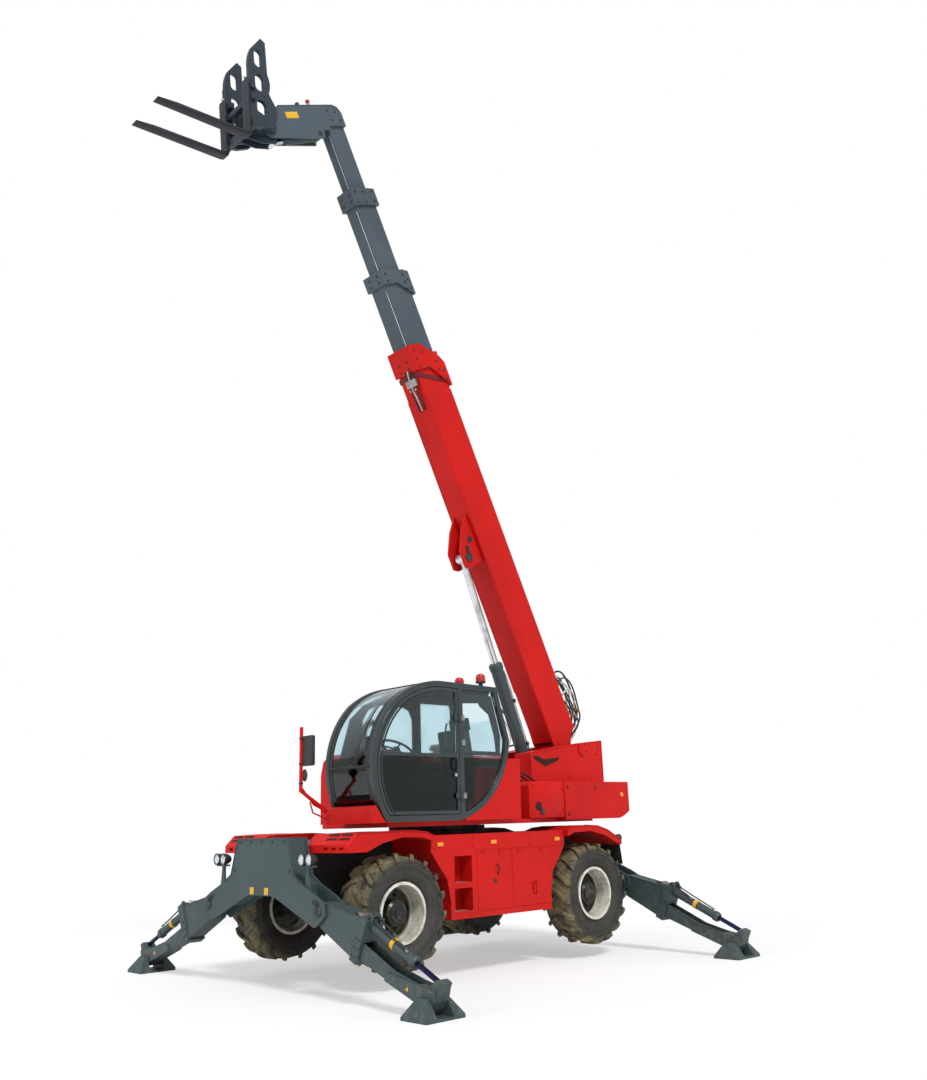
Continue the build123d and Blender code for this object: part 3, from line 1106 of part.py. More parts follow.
# === fork carriage and tines ===================================================================
back_u = CARRIAGE_FRONT_U - BAR_T
tine_back = CARRIAGE_FRONT_U + SEAT
cheek_y = HEAD_W / 2 + SIDE_PLAY
bar_low, bar_middle, hook_bar = (-262, -180), (110, 180), (262, 338)  # v from, v to
with BuildPart() as carriage:
    # two towers, one behind each tine, with oval windows
    for side in (1, -1):
        with BuildSketch(beside_carriage(side * TOWER_Y + TOWER_T / 2)):
            with BuildLine():
                Line((150, 1010), (215, 1045))
                Line((215, 1045), (350, 860))
                ThreePointArc((350, 860), (395, 730), (CARRIAGE_FRONT_U, 590))
                Line((CARRIAGE_FRONT_U, 590), (CARRIAGE_FRONT_U, -250))
                Line((CARRIAGE_FRONT_U, -250), (250, -215))
                Line((250, -215), (80, -130))
                ThreePointArc((80, -130), (25, 0), (90, 225))
                Line((90, 225), (130, 300))
                ThreePointArc((130, 300), (108, 430), (140, 560))
                Line((140, 560), (150, 1010))
            make_face()
            for u, v, wide, tall in ((268, 740, 105, 240), (262, 400, 120, 230), (245, 60, 130, 200)):
                with Locations((u, v)):
                    SlotOverall(tall, wide, rotation=90, mode=Mode.SUBTRACT)
        extrude(amount=TOWER_T)
    # cross bars that the tines hang on and rest against
    for (v0, v1), inner_y in ((bar_low, 0), (bar_middle, 0), (hook_bar, BAR_MID_HALF)):
        for side in (1, -1):
            with BuildSketch(beside_carriage(CARRIAGE_HALF_W if side > 0 else -inner_y)):
                face_of([(back_u, v0), (CARRIAGE_FRONT_U, v0), (CARRIAGE_FRONT_U, v1), (back_u, v1)])
            extrude(amount=CARRIAGE_HALF_W - inner_y)
    # plates back to the head's pin, outside the head
    for y in (cheek_y + CHEEK_BAR_T, -cheek_y):
        with BuildSketch(beside_carriage(y)):
            face_of([(back_u + 5, 175), (60, 90), (-60, 50), (-75, -30), (-40, -80), (back_u + 5, -255)])
        extrude(amount=CHEEK_BAR_T)
    with BuildSketch(beside_carriage(cheek_y + CHEEK_BAR_T)):
        Circle(HEAD_PIN_R)
    extrude(amount=2 * (cheek_y + CHEEK_BAR_T))
    # ears of the tilt cylinder
    for y in (TILT_EYE_W / 2 + SIDE_PLAY + TILT_EAR_T, -TILT_EYE_W / 2 - SIDE_PLAY):
        with BuildSketch(beside_carriage(y)):
            face_of([(back_u + 5, -185), (130, -140), (40, -104), (-35, -98), (TILT_LUG_U - 20, TILT_LUG_V + 35),
                     (TILT_LUG_U - 42, TILT_LUG_V - 12), (TILT_LUG_U, TILT_LUG_V - 45), (120, -250),
                     (back_u + 5, -258)])
        extrude(amount=TILT_EAR_T)
save("fork_carriage", carriage.part)

with BuildPart() as tines:
    for side in (1, -1):
        with BuildSketch(beside_carriage(side * TINE_Y + TINE_W / 2)):
            face_of([
                (tine_back, TINE_LOW), (TINE_TIP_U, TINE_LOW), (TINE_TIP_U, TINE_LOW + 12),
                (TINE_TIP_U - 350, TINE_LOW + TINE_T), (tine_back + TINE_T, TINE_LOW + TINE_T),
                (tine_back + TINE_T - 8, TINE_TOP), (tine_back, TINE_TOP),
            ])
        extrude(amount=TINE_W)
save("fork_tines", tines.part)
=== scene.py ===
"""Looks of a rotating telescopic handler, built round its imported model. Metres, +X forward, +Y left, +Z up."""
import json
from math import atan2, cos, pi, radians, sin, sqrt

import bpy
from mathutils import Matrix, Vector


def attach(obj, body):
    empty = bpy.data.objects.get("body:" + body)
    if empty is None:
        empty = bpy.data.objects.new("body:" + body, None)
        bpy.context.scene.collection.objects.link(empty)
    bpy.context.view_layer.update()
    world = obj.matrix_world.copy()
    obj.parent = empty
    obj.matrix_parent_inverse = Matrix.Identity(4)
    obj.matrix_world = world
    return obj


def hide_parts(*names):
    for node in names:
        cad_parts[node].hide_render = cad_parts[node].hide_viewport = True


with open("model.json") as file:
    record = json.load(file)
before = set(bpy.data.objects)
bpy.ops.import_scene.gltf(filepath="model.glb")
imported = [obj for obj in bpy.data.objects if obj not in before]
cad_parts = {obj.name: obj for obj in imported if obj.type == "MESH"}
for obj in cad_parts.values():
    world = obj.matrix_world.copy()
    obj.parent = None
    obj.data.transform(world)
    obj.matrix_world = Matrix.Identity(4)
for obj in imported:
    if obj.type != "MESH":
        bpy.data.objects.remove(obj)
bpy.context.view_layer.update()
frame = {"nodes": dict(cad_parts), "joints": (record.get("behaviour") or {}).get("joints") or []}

# --- places taken from the model's own joints ---------------------------------------------------
JOINT = {joint["name"]: joint for joint in frame["joints"]}
SLEW_X = JOINT["slew"]["pos_m"][0]
BOOM_DIR = Vector(JOINT["telescope_second"]["axis"])
BOOM_UP = Vector((-BOOM_DIR.z, 0, BOOM_DIR.x))
LEFT = Vector((0, 1, 0))
BOOM_ORIGIN = Vector((SLEW_X - 2.2, 0, 2.698))
CORNERS = (("front_left", 1, 1), ("front_right", 1, -1), ("rear_left", -1, 1), ("rear_right", -1, -1))
SIDES = ((1, "left"), (-1, "right"))

# wheels, and the outriggers' pivots, foot pins and cylinders
AXLE_X, TYRE_Y, AXLE_Z = 1.5, 0.98, 0.718
OUT_X, PIVOT_Y, PIVOT_Z = 2.326, 1.02, 0.80
FOOT_Y, FOOT_Z = 2.499, 0.126
OUT_TURN = atan2(FOOT_Z - PIVOT_Z, FOOT_Y - PIVOT_Y)
CYLINDER_N, ROD_END_T = 0.186, 1.63

# heights between which the cab's glass turns to its darker lower tint, a painted shade of the dim cab inside, at the
# lower edge of the middle rail
SHADE_TINT_LOW, SHADE_TINT_TOP = 2.262, 2.272


def at(x, y, z):
    """Point with x counted from the slewing axis."""
    return Vector((SLEW_X + x, y, z))


def on_boom(s, y, n):
    """Point s along the boom, y to the left and n above its middle line."""
    return BOOM_ORIGIN + BOOM_DIR * s + LEFT * y + BOOM_UP * n


# --- shader node groups --------------------------------------------------------------------------
def new_group(name, inputs, outputs):
    """Empty shader group with named sockets, its input and output nodes."""
    group = bpy.data.node_groups.new(name, "ShaderNodeTree")
    for label, kind, value in inputs:
        socket = group.interface.new_socket(label, in_out="INPUT", socket_type=kind)
        if value is not None:
            socket.default_value = value
    for label, kind in outputs:
        group.interface.new_socket(label, in_out="OUTPUT", socket_type=kind)
    return group, group.nodes.new("NodeGroupInput"), group.nodes.new("NodeGroupOutput")


def add_noise(group, source, scale, detail, rough):
    """Noise of the given scale, a number or a socket."""
    noise = group.nodes.new("ShaderNodeTexNoise")
    noise.inputs["Detail"].default_value = detail
    noise.inputs["Roughness"].default_value = rough
    group.links.new(source, noise.inputs["Vector"])
    if isinstance(scale, (int, float)):
        noise.inputs["Scale"].default_value = scale
    else:
        group.links.new(scale, noise.inputs["Scale"])
    return noise.outputs["Fac"]


def add_ramp(group, source, low, high, to_low=0.0, to_high=1.0):
    """Smooth step of a value from low to high."""
    ramp = group.nodes.new("ShaderNodeMapRange")
    ramp.interpolation_type = "SMOOTHSTEP"
    for label, value in (("From Min", low), ("From Max", high), ("To Min", to_low), ("To Max", to_high)):
        if isinstance(value, (int, float)):
            ramp.inputs[label].default_value = value
        else:
            group.links.new(value, ramp.inputs[label])
    group.links.new(source, ramp.inputs["Value"])
    return ramp.outputs["Result"]


def add_math(group, operation, first, second=0.0):
    """Math node on two numbers or sockets."""
    node = group.nodes.new("ShaderNodeMath")
    node.operation = operation
    for socket, value in zip(node.inputs, (first, second)):
        if isinstance(value, (int, float)):
            socket.default_value = value
        else:
            group.links.new(value, socket)
    return node.outputs[0]


def add_shares(group, first, first_share, second, second_share):
    """Two values, each times its own share, added up."""
    return add_math(group, "ADD", add_math(group, "MULTIPLY", first, first_share),
                    add_math(group, "MULTIPLY", second, second_share))


def add_length(group, first, second):
    """Length of the step made by two values square to each other."""
    return add_math(group, "SQRT", add_shares(group, first, first, second, second))


def split_place(group, place):
    """X, Y and Z of a place."""
    apart = group.nodes.new("ShaderNodeSeparateXYZ")
    group.links.new(place, apart.inputs[0])
    return apart.outputs


def add_mix(group, factor, first, second):
    """Colour between two colours or sockets."""
    node = group.nodes.new("ShaderNodeMix")
    node.data_type = "RGBA"
    for socket, value in ((node.inputs["Factor"], factor), (node.inputs["A"], first), (node.inputs["B"], second)):
        if isinstance(value, (int, float, tuple)):
            socket.default_value = value
        else:
            group.links.new(value, socket)
    return node.outputs["Result"]


COLOUR, NUMBER, VECTOR = "NodeSocketColor", "NodeSocketFloat", "NodeSocketVector"


def make_field_dust():
    """Paint that fades a little in patches and carries dust, more of it low on the machine."""
    group, given, made = new_group(
        "field_dust",
        [("Place", VECTOR, None), ("Paint", COLOUR, (0.5, 0.5, 0.5, 1)), ("Dust", COLOUR, (0.2, 0.17, 0.12, 1)),
         ("Amount", NUMBER, 0.3), ("Top", NUMBER, 1.4), ("Roughness", NUMBER, 0.35)],
        [("Color", COLOUR), ("Roughness", NUMBER)],
    )
    place = given.outputs["Place"]
    broad = add_noise(group, place, 0.9, 5, 0.6)
    fine = add_noise(group, place, 14.0, 6, 0.7)
    low_down = add_ramp(group, split_place(group, place)["Z"], 0.1, given.outputs["Top"], 1.0, 0.12)
    speckle = add_ramp(group, fine, 0.42, 0.72)
    cover = add_math(group, "MULTIPLY", add_math(group, "MULTIPLY", low_down, speckle), given.outputs["Amount"])
    faded = add_mix(group, add_ramp(group, broad, 0.3, 0.75, 0.0, 0.22), given.outputs["Paint"], (0.0, 0.0, 0.0, 1))
    colour = add_mix(group, cover, faded, given.outputs["Dust"])
    group.links.new(colour, made.inputs["Color"])
    rougher = add_math(group, "ADD", given.outputs["Roughness"], add_math(group, "MULTIPLY", cover, 0.5))
    rougher = add_math(group, "ADD", rougher, add_math(group, "MULTIPLY", add_ramp(group, broad, 0.35, 0.7), 0.08))
    group.links.new(rougher, made.inputs["Roughness"])
    return group


def make_chips():
    """Small chips and scuffs in the paint, as a mask."""
    group, given, made = new_group(
        "chips", [("Place", VECTOR, None), ("Scale", NUMBER, 20.0), ("Share", NUMBER, 0.2)], [("Mask", NUMBER)])
    fine = add_noise(group, given.outputs["Place"], given.outputs["Scale"], 8, 0.75)
    broad = add_noise(group, given.outputs["Place"], 1.7, 3, 0.5)
    both = add_math(group, "MULTIPLY", fine, add_ramp(group, broad, 0.35, 0.65, 0.75, 1.0))
    edge = add_math(group, "SUBTRACT", 0.8, add_math(group, "MULTIPLY", given.outputs["Share"], 0.35))
    group.links.new(add_ramp(group, both, edge, add_math(group, "ADD", edge, 0.03)), made.inputs["Mask"])
    return group


def make_surface_grain():
    """Fine unevenness of a sprayed or cast surface, as a height."""
    group, given, made = new_group(
        "surface_grain", [("Place", VECTOR, None), ("Scale", NUMBER, 120.0), ("Broad", NUMBER, 0.5)],
        [("Height", NUMBER)])
    fine = add_noise(group, given.outputs["Place"], given.outputs["Scale"], 3, 0.5)
    broad = add_noise(group, given.outputs["Place"], 2.2, 2, 0.5)
    height = add_math(group, "ADD", fine, add_math(group, "MULTIPLY", broad, given.outputs["Broad"]))
    group.links.new(height, made.inputs["Height"])
    return group


def make_axle_radius():
    """Distance from the wheel's own axle, the same on all four wheels, as a mask from low to high."""
    group, given, made = new_group(
        "axle_radius", [("Place", VECTOR, None), ("Low", NUMBER, 0.45), ("High", NUMBER, 0.55)], [("Mask", NUMBER)])
    place = split_place(group, given.outputs["Place"])
    ahead = add_math(group, "ABSOLUTE", add_math(group, "SUBTRACT", place["X"], SLEW_X))
    ahead = add_math(group, "SUBTRACT", ahead, AXLE_X)
    above = add_math(group, "SUBTRACT", place["Z"], AXLE_Z)
    radius = add_length(group, ahead, above)
    group.links.new(add_ramp(group, radius, given.outputs["Low"], given.outputs["High"]), made.inputs["Mask"])
    return group


def make_rod_mask():
    """1 on the bright rods of the outriggers' cylinders, 0 on the legs round them."""
    group, given, made = new_group(
        "rod_mask", [("Place", VECTOR, None), ("Radius", NUMBER, 0.0258)], [("Mask", NUMBER)])
    place = split_place(group, given.outputs["Place"])
    across = add_math(group, "ABSOLUTE", add_math(group, "SUBTRACT", place["X"], SLEW_X))
    across = add_math(group, "SUBTRACT", across, OUT_X)
    out = add_math(group, "SUBTRACT", add_math(group, "ABSOLUTE", place["Y"]), PIVOT_Y)
    up = add_math(group, "SUBTRACT", place["Z"], PIVOT_Z)
    above = add_math(group, "SUBTRACT", add_shares(group, out, -sin(OUT_TURN), up, cos(OUT_TURN)), CYLINDER_N)
    near = add_math(group, "LESS_THAN", add_length(group, across, above), given.outputs["Radius"])
    along = add_shares(group, out, cos(OUT_TURN), up, sin(OUT_TURN))
    inside = add_math(group, "LESS_THAN", along, ROD_END_T)
    group.links.new(add_math(group, "MULTIPLY", near, inside), made.inputs["Mask"])
    return group


FIELD_DUST, CHIPS, SURFACE_GRAIN = make_field_dust(), make_chips(), make_surface_grain()
AXLE_RADIUS, ROD_MASK = make_axle_radius(), make_rod_mask()


# --- materials -----------------------------------------------------------------------------------
def new_material(name):
    """Material with its tree, shader and the object coordinates it reads."""
    material = bpy.data.materials.new(name)
    material.use_nodes = True
    tree = material.node_tree
    place = tree.nodes.new("ShaderNodeTexCoord").outputs["Object"]
    return material, tree, tree.nodes["Principled BSDF"], place


def reopen(material):
    """Tree, shader, object coordinates and colour of a material that is made further."""
    tree = material.node_tree
    shader = tree.nodes["Principled BSDF"]
    paint = shader.inputs["Base Color"].links[0].from_socket
    return tree, shader, tree.nodes["Texture Coordinate"].outputs["Object"], paint


def use_group(tree, group, **values):
    """Places a shader group with its inputs and gives its outputs."""
    node = tree.nodes.new("ShaderNodeGroup")
    node.node_tree = group
    for label, value in values.items():
        if isinstance(value, bpy.types.NodeSocket):
            tree.links.new(value, node.inputs[label])
        else:
            node.inputs[label].default_value = value
    return node.outputs


def add_bump(tree, height, shader, strength, distance):
    """Bump from a height into the shader's normal."""
    bump = tree.nodes.new("ShaderNodeBump")
    bump.inputs["Strength"].default_value = strength
    bump.inputs["Distance"].default_value = distance
    tree.links.new(height, bump.inputs["Height"])
    tree.links.new(bump.outputs["Normal"], shader.inputs["Normal"])


def painted(name, colour, roughness=0.3, dust=0.25, dust_top=1.3, chip_share=0.15,
            chip_colour=(0.05, 0.05, 0.05, 1), coat=0.3, shine=0.3):
    """Sprayed steel: faded and dusty paint with small chips under a thin gloss."""
    material, tree, shader, place = new_material(name)
    dusty = use_group(tree, FIELD_DUST, Place=place, Paint=colour, Amount=dust, Top=dust_top, Roughness=roughness)
    chips = use_group(tree, CHIPS, Place=place, Scale=26.0, Share=chip_share)
    tree.links.new(add_mix(tree, chips["Mask"], dusty["Color"], chip_colour), shader.inputs["Base Color"])
    tree.links.new(dusty["Roughness"], shader.inputs["Roughness"])
    height = use_group(tree, SURFACE_GRAIN, Place=place, Scale=220.0, Broad=0.6)["Height"]
    add_bump(tree, height, shader, 0.12, 0.002)
    shader.inputs["Coat Weight"].default_value = coat
    shader.inputs["Coat Roughness"].default_value = 0.12
    shader.inputs["Specular IOR Level"].default_value = shine
    return material


def rod_and_paint(name, colour):
    """Painted leg whose cylinder rod is bare chrome, tinted dark blue as a painted reflection of the sky."""
    material = painted(name, colour, 0.45, dust=0.4, dust_top=1.1, coat=0.05)
    tree, shader, place, paint = reopen(material)
    mask = use_group(tree, ROD_MASK, Place=place)["Mask"]
    rough = shader.inputs["Roughness"].links[0].from_socket
    # dark blue base of the rod: painted reflection of the sky in its chrome
    tree.links.new(add_mix(tree, mask, paint, (0.024, 0.026, 0.095, 1)), shader.inputs["Base Color"])
    tree.links.new(add_ramp(tree, mask, 0.0, 1.0, rough, 0.22), shader.inputs["Roughness"])
    tree.links.new(mask, shader.inputs["Metallic"])
    return material


def muddy_rim(name):
    """Cream wheel paint, bright at the flange, grimy towards the hub and darkened there with painted shade of the deep
    disc.
    """
    material = painted(name, (0.78, 0.75, 0.66, 1), 0.32, dust=0.35, dust_top=1.6, chip_share=0.4, coat=0.1)
    tree, shader, place, paint = reopen(material)
    outer = use_group(tree, AXLE_RADIUS, Place=place, Low=0.225, High=0.275)["Mask"]
    patches = add_ramp(tree, add_noise(tree, place, 11.0, 6, 0.65), 0.42, 0.62)
    # near-black to dark olive towards the hub: grime, and painted shade where the deep disc lies in shadow
    grime_and_painted_shade = add_mix(tree, patches, (0.013, 0.012, 0.011, 1), (0.05, 0.045, 0.022, 1))
    mud = add_mix(tree, add_math(tree, "MULTIPLY", patches, 0.42), paint, (0.20, 0.185, 0.075, 1))
    tree.links.new(add_mix(tree, outer, grime_and_painted_shade, mud), shader.inputs["Base Color"])
    return material


def see_through(name, colour, roughness=0.03, lower=None):
    """Tinted glass with faint water marks, and below the cab's middle rail a darker tint, painted shade of the dim
    inside, if lower is given.
    """
    material, tree, shader, place = new_material(name)
    marks = add_noise(tree, place, 9.0, 5, 0.6)
    ramp = add_ramp(tree, marks, 0.3, 0.8, roughness, roughness + 0.05)
    tree.links.new(ramp, shader.inputs["Roughness"])
    if lower is None:
        shader.inputs["Base Color"].default_value = colour
    else:
        height = add_ramp(tree, split_place(tree, place)["Z"], SHADE_TINT_LOW, SHADE_TINT_TOP)
        tree.links.new(add_mix(tree, height, lower, colour), shader.inputs["Base Color"])
    shader.inputs["Transmission Weight"].default_value = 1.0
    shader.inputs["IOR"].default_value = 1.45
    return material


def muddy_tyre(name):
    """Black rubber under dried olive mud that lies thickest on the tread."""
    material, tree, shader, place = new_material(name)
    caked = add_noise(tree, place, 5.0, 8, 0.65)
    fine = add_noise(tree, place, 55.0, 6, 0.7)
    mask = add_ramp(tree, add_shares(tree, caked, 0.75, fine, 0.25), 0.38, 0.56)
    tread = use_group(tree, AXLE_RADIUS, Place=place, Low=0.475, High=0.545)["Mask"]
    mask = add_math(tree, "MULTIPLY", mask, add_ramp(tree, tread, 0.0, 1.0, 0.10, 1.0))
    mud = add_mix(tree, add_ramp(tree, fine, 0.3, 0.7), (0.085, 0.07, 0.03, 1), (0.22, 0.185, 0.095, 1))
    rubber = add_mix(tree, add_ramp(tree, fine, 0.35, 0.75), (0.012, 0.012, 0.012, 1), (0.04, 0.038, 0.032, 1))
    tree.links.new(add_mix(tree, mask, rubber, mud), shader.inputs["Base Color"])
    tree.links.new(add_ramp(tree, mask, 0.0, 1.0, 0.6, 0.92), shader.inputs["Roughness"])
    add_bump(tree, add_math(tree, "ADD", add_math(tree, "MULTIPLY", mask, 0.8), fine), shader, 0.6, 0.006)
    return material


def bare_metal(name, colour, roughness=0.25, scale=90.0, metallic=1.0):
    """Machined or cast metal with a fine grain and some oil stains."""
    material, tree, shader, place = new_material(name)
    stains = add_noise(tree, place, 6.0, 6, 0.6)
    dark = tuple(0.45 * part for part in colour[:3]) + (1,)
    tree.links.new(add_mix(tree, add_ramp(tree, stains, 0.4, 0.75), colour, dark), shader.inputs["Base Color"])
    tree.links.new(add_ramp(tree, stains, 0.3, 0.7, roughness, roughness + 0.2), shader.inputs["Roughness"])
    shader.inputs["Metallic"].default_value = metallic
    height = use_group(tree, SURFACE_GRAIN, Place=place, Scale=scale, Broad=0.3)["Height"]
    add_bump(tree, height, shader, 0.25, 0.002)
    return material


def moulded(name, colour, roughness=0.5, grain=0.3, scale=300.0):
    """Moulded plastic or rubber trim with a leathery grain."""
    material, tree, shader, place = new_material(name)
    dusty = use_group(tree, FIELD_DUST, Place=place, Paint=colour, Amount=0.2, Top=1.6, Roughness=roughness)
    tree.links.new(dusty["Color"], shader.inputs["Base Color"])
    tree.links.new(dusty["Roughness"], shader.inputs["Roughness"])
    height = use_group(tree, SURFACE_GRAIN, Place=place, Scale=scale, Broad=0.1)["Height"]
    add_bump(tree, height, shader, grain, 0.001)
    return material


RED_PAINT = painted("red_paint", (0.575, 0.0085, 0.006, 1), 0.42, dust=0.09, coat=0.04, shine=0.14)
SLATE_PAINT = painted("slate_paint", (0.045, 0.070, 0.074, 1), 0.45, dust=0.35, dust_top=1.1, coat=0.03)
LEG_PAINT = rod_and_paint("leg_paint", (0.045, 0.070, 0.074, 1))
BOOM_SLATE = painted("boom_slate", (0.070, 0.092, 0.112, 1), 0.40, dust=0.2, coat=0.05)
CAB_GREY = painted("cab_grey", (0.036, 0.046, 0.047, 1), 0.35, dust=0.1, coat=0.25)
UNDER_BLACK = painted("under_black", (0.02, 0.02, 0.02, 1), 0.6, dust=0.5, coat=0.0)
FORK_BLACK = painted("fork_black", (0.012, 0.014, 0.02, 1), 0.45, dust=0.1, chip_share=0.5,
                     chip_colour=(0.16, 0.15, 0.14, 1), coat=0.1)
CARRIAGE_BLUE = painted("carriage_blue", (0.022, 0.034, 0.05, 1), 0.42, dust=0.1, chip_share=0.3, coat=0.15)
YELLOW = painted("yellow_plate", (0.75, 0.42, 0.02, 1), 0.4, dust=0.1, coat=0.1)
RIM_PAINT = muddy_rim("rim_paint")
TYRE_RUBBER = muddy_tyre("muddy_rubber")
# glass darker below the middle rail: painted shade of the dim cab inside
GLASS = see_through("cab_glass_tint", (0.72, 0.86, 0.90, 1), lower=(0.11, 0.17, 0.16, 1))
LAMP_GLASS = see_through("lamp_glass", (0.95, 0.97, 1.0, 1), 0.08)
BEACON_RED = moulded("beacon_red", (0.52, 0.016, 0.010, 1), 0.2, 0.05)
STEEL = bare_metal("rod_steel", (0.75, 0.75, 0.76, 1), 0.12, 400.0)
CAST = bare_metal("cast_iron", (0.07, 0.07, 0.07, 1), 0.55, 60.0, 0.6)
TRIM = moulded("black_trim", (0.018, 0.02, 0.02, 1))
SEAT_CLOTH = moulded("seat_cloth", (0.03, 0.032, 0.036, 1), 0.85, 0.6, 500.0)
HUB_BLACK = painted("hub_black", (0.014, 0.014, 0.015, 1), 0.45, dust=0.45, dust_top=1.6, chip_share=0.3, coat=0.1)
CHROME = bare_metal("bright_chrome", (0.82, 0.82, 0.84, 1), 0.08, 300.0)
ZINC = bare_metal("zinc_plate", (0.42, 0.41, 0.38, 1), 0.35, 150.0)
BRASS = bare_metal("brass_nut", (0.50, 0.30, 0.08, 1), 0.35, 150.0)
HOSE = moulded("black_pipe", (0.012, 0.012, 0.013, 1), 0.45, 0.15, 500.0)
PALE_HOSE = moulded("pale_pipe", (0.55, 0.56, 0.54, 1), 0.5, 0.15, 500.0)
COVER_BLUE = painted("cover_blue", (0.045, 0.10, 0.19, 1), 0.35, dust=0.3, coat=0.3)
AMBER = moulded("amber_lens", (0.85, 0.30, 0.02, 1), 0.15, 0.08, 90.0)
TAIL_GREEN = painted("tail_lamp_green", (0.02, 0.045, 0.030, 1), 0.4, dust=0.2, coat=0.2)
SEAT_GREEN = moulded("seat_fabric", (0.035, 0.085, 0.065, 1), 0.85, 0.6, 500.0)
STRAP_RED = painted("strap_red", (0.16, 0.006, 0.006, 1), 0.5, dust=0.1, coat=0.1)
# dark red for openings, slots and wells: painted shade in place of their depth
RECESS_SHADE = painted("recess_painted_shade", (0.035, 0.006, 0.006, 1), 0.6, dust=0.2, coat=0.0)

NODE_MATERIALS = (
    (RED_PAINT, ("boom_outer", "turret_frame", "counterweight", "cab_front_box", "rear_panel", "engine_hood",
                 "side_boxes", "fenders")),
    (SLATE_PAINT, ("stabiliser_frames", "outrigger_arm", "outrigger_foot", "lift_barrel", "tilt_barrel")),
    (LEG_PAINT, ("outrigger_leg",)),
    (BOOM_SLATE, ("boom_second", "boom_third", "boom_inner")),
    (CAB_GREY, ("cab_frame", "cab_door")),
    (UNDER_BLACK, ("chassis_frame",)),
    (CAST, ("axles", "knuckle", "slew_ring", "engine_block")),
    (TYRE_RUBBER, ("tyre",)),
    (RIM_PAINT, ("rim",)),
    (GLASS, ("cab_glass", "door_glass")),
    (STEEL, ("lift_rod", "tilt_rod")),
    (FORK_BLACK, ("fork_tines",)),
    (CARRIAGE_BLUE, ("fork_carriage",)),
    (LAMP_GLASS, ("headlamps",)),
    (BEACON_RED, ("beacons",)),
    (SEAT_CLOTH, ("cab_interior",)),
)
for material, starts in NODE_MATERIALS:
    for name, node in frame["nodes"].items():
        if name.startswith(starts):
            node.data.materials.clear()
            node.data.materials.append(material)


# --- ways of making a piece ----------------------------------------------------------------------
def put_down():
    """Leaves edit mode with nothing selected."""
    if bpy.context.object and bpy.context.object.mode == "EDIT":
        bpy.ops.object.mode_set(mode="OBJECT")
    bpy.ops.object.select_all(action="DESELECT")


def pick(*pieces):
    """Selects the pieces, the first of them active."""
    put_down()
    for piece in pieces:
        piece.select_set(True)
    bpy.context.view_layer.objects.active = pieces[0]


def edit_all(piece):
    """Opens a piece in edit mode with all of it selected."""
    pick(piece)
    bpy.ops.object.mode_set(mode="EDIT")
    bpy.ops.mesh.select_all(action="SELECT")


def close_up(piece):
    """Merges doubles and turns every face outwards."""
    edit_all(piece)
    bpy.ops.mesh.remove_doubles(threshold=0.00002)
    bpy.ops.mesh.normals_make_consistent(inside=False)
    bpy.ops.object.mode_set(mode="OBJECT")


def settle(piece, name, body, material, bevel=0.0, smooth=35):
    """Bakes a piece's place into its mesh, softens its edges and hangs it on its body."""
    pick(piece)
    bpy.ops.object.transform_apply(location=True, rotation=True, scale=True)
    if bevel:
        edge = piece.modifiers.new("edge", "BEVEL")
        edge.width, edge.segments, edge.limit_method, edge.angle_limit = bevel, 2, "ANGLE", radians(38)
        bpy.ops.object.modifier_apply(modifier="edge")
    bpy.ops.object.shade_smooth_by_angle(angle=radians(smooth))
    piece.name = piece.data.name = name
    piece.data.materials.clear()
    piece.data.materials.append(material)
    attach(piece, body)
    return piece


def join(pieces):
    """Makes one piece of several."""
    pick(*pieces)
    if len(pieces) > 1:
        bpy.ops.object.join()
    return bpy.context.object


def outline(points, fill_type):
    """Ring of edges through the points, filled or open."""
    put_down()
    bpy.ops.mesh.primitive_circle_add(vertices=len(points), radius=1, fill_type=fill_type)
    ring = bpy.context.object
    for corner, point in zip(ring.data.vertices, points):
        corner.co = point
    return ring


def cut_plate(points, way):
    """Plate: a filled outline drawn out along way."""
    plate = outline(points, "NGON")
    edit_all(plate)
    bpy.ops.mesh.extrude_region_move(TRANSFORM_OT_translate={"value": tuple(way)})
    close_up(plate)
    return plate


def ring_plate(outer, inner, way):
    """Flat frame between two outlines, drawn out along way."""
    made = join([outline(outer, "NOTHING"), outline(inner, "NOTHING")])
    edit_all(made)
    bpy.ops.mesh.bridge_edge_loops()
    bpy.ops.mesh.select_all(action="SELECT")
    bpy.ops.mesh.extrude_region_move(TRANSFORM_OT_translate={"value": tuple(way)})
    close_up(made)
    return made


def block(middle, size):
    """Rectangular block, shaped and bevelled by what it becomes."""
    put_down()
    bpy.ops.mesh.primitive_cube_add(size=1, location=middle, scale=size)
    return bpy.context.object


def round_bar(start, end, radius, sides=20, end_radius=None):
    """Round bar from one point to another, tapered if its end has a radius of its own."""
    way = end - start
    put_down()
    bpy.ops.mesh.primitive_cone_add(
        vertices=sides, radius1=radius, radius2=radius if end_radius is None else end_radius, depth=way.length,
        location=(start + end) / 2, rotation=way.to_track_quat("Z", "Y").to_euler())
    return bpy.context.object


def turned(profile, start, way, sides=32):
    """Turned piece: a closed row of points, distance along way and radius, spun round the line."""
    way = Vector(way).normalized()
    across = way.orthogonal().normalized()
    piece = outline([start + way * far + across * radius for far, radius in profile], "NOTHING")
    edit_all(piece)
    bpy.ops.mesh.spin(steps=sides, angle=2 * pi, center=start, axis=way)
    close_up(piece)
    return piece


def pipe(points, radius, kind="NURBS", sides=2):
    """Bent pipe through or along the points."""
    put_down()
    bpy.ops.curve.primitive_nurbs_path_add()
    route = bpy.context.object
    route.data.splines.clear()
    spline = route.data.splines.new(kind)
    spline.points.add(len(points) - 1)
    for spot, point in zip(spline.points, points):
        spot.co = (*point, 1)
    if kind == "NURBS":
        spline.order_u = 3
        spline.use_endpoint_u = True
    route.data.bevel_depth, route.data.bevel_resolution, route.data.resolution_u = radius, sides, 6
    route.data.use_fill_caps = True
    bpy.ops.object.convert(target="MESH")
    return bpy.context.object


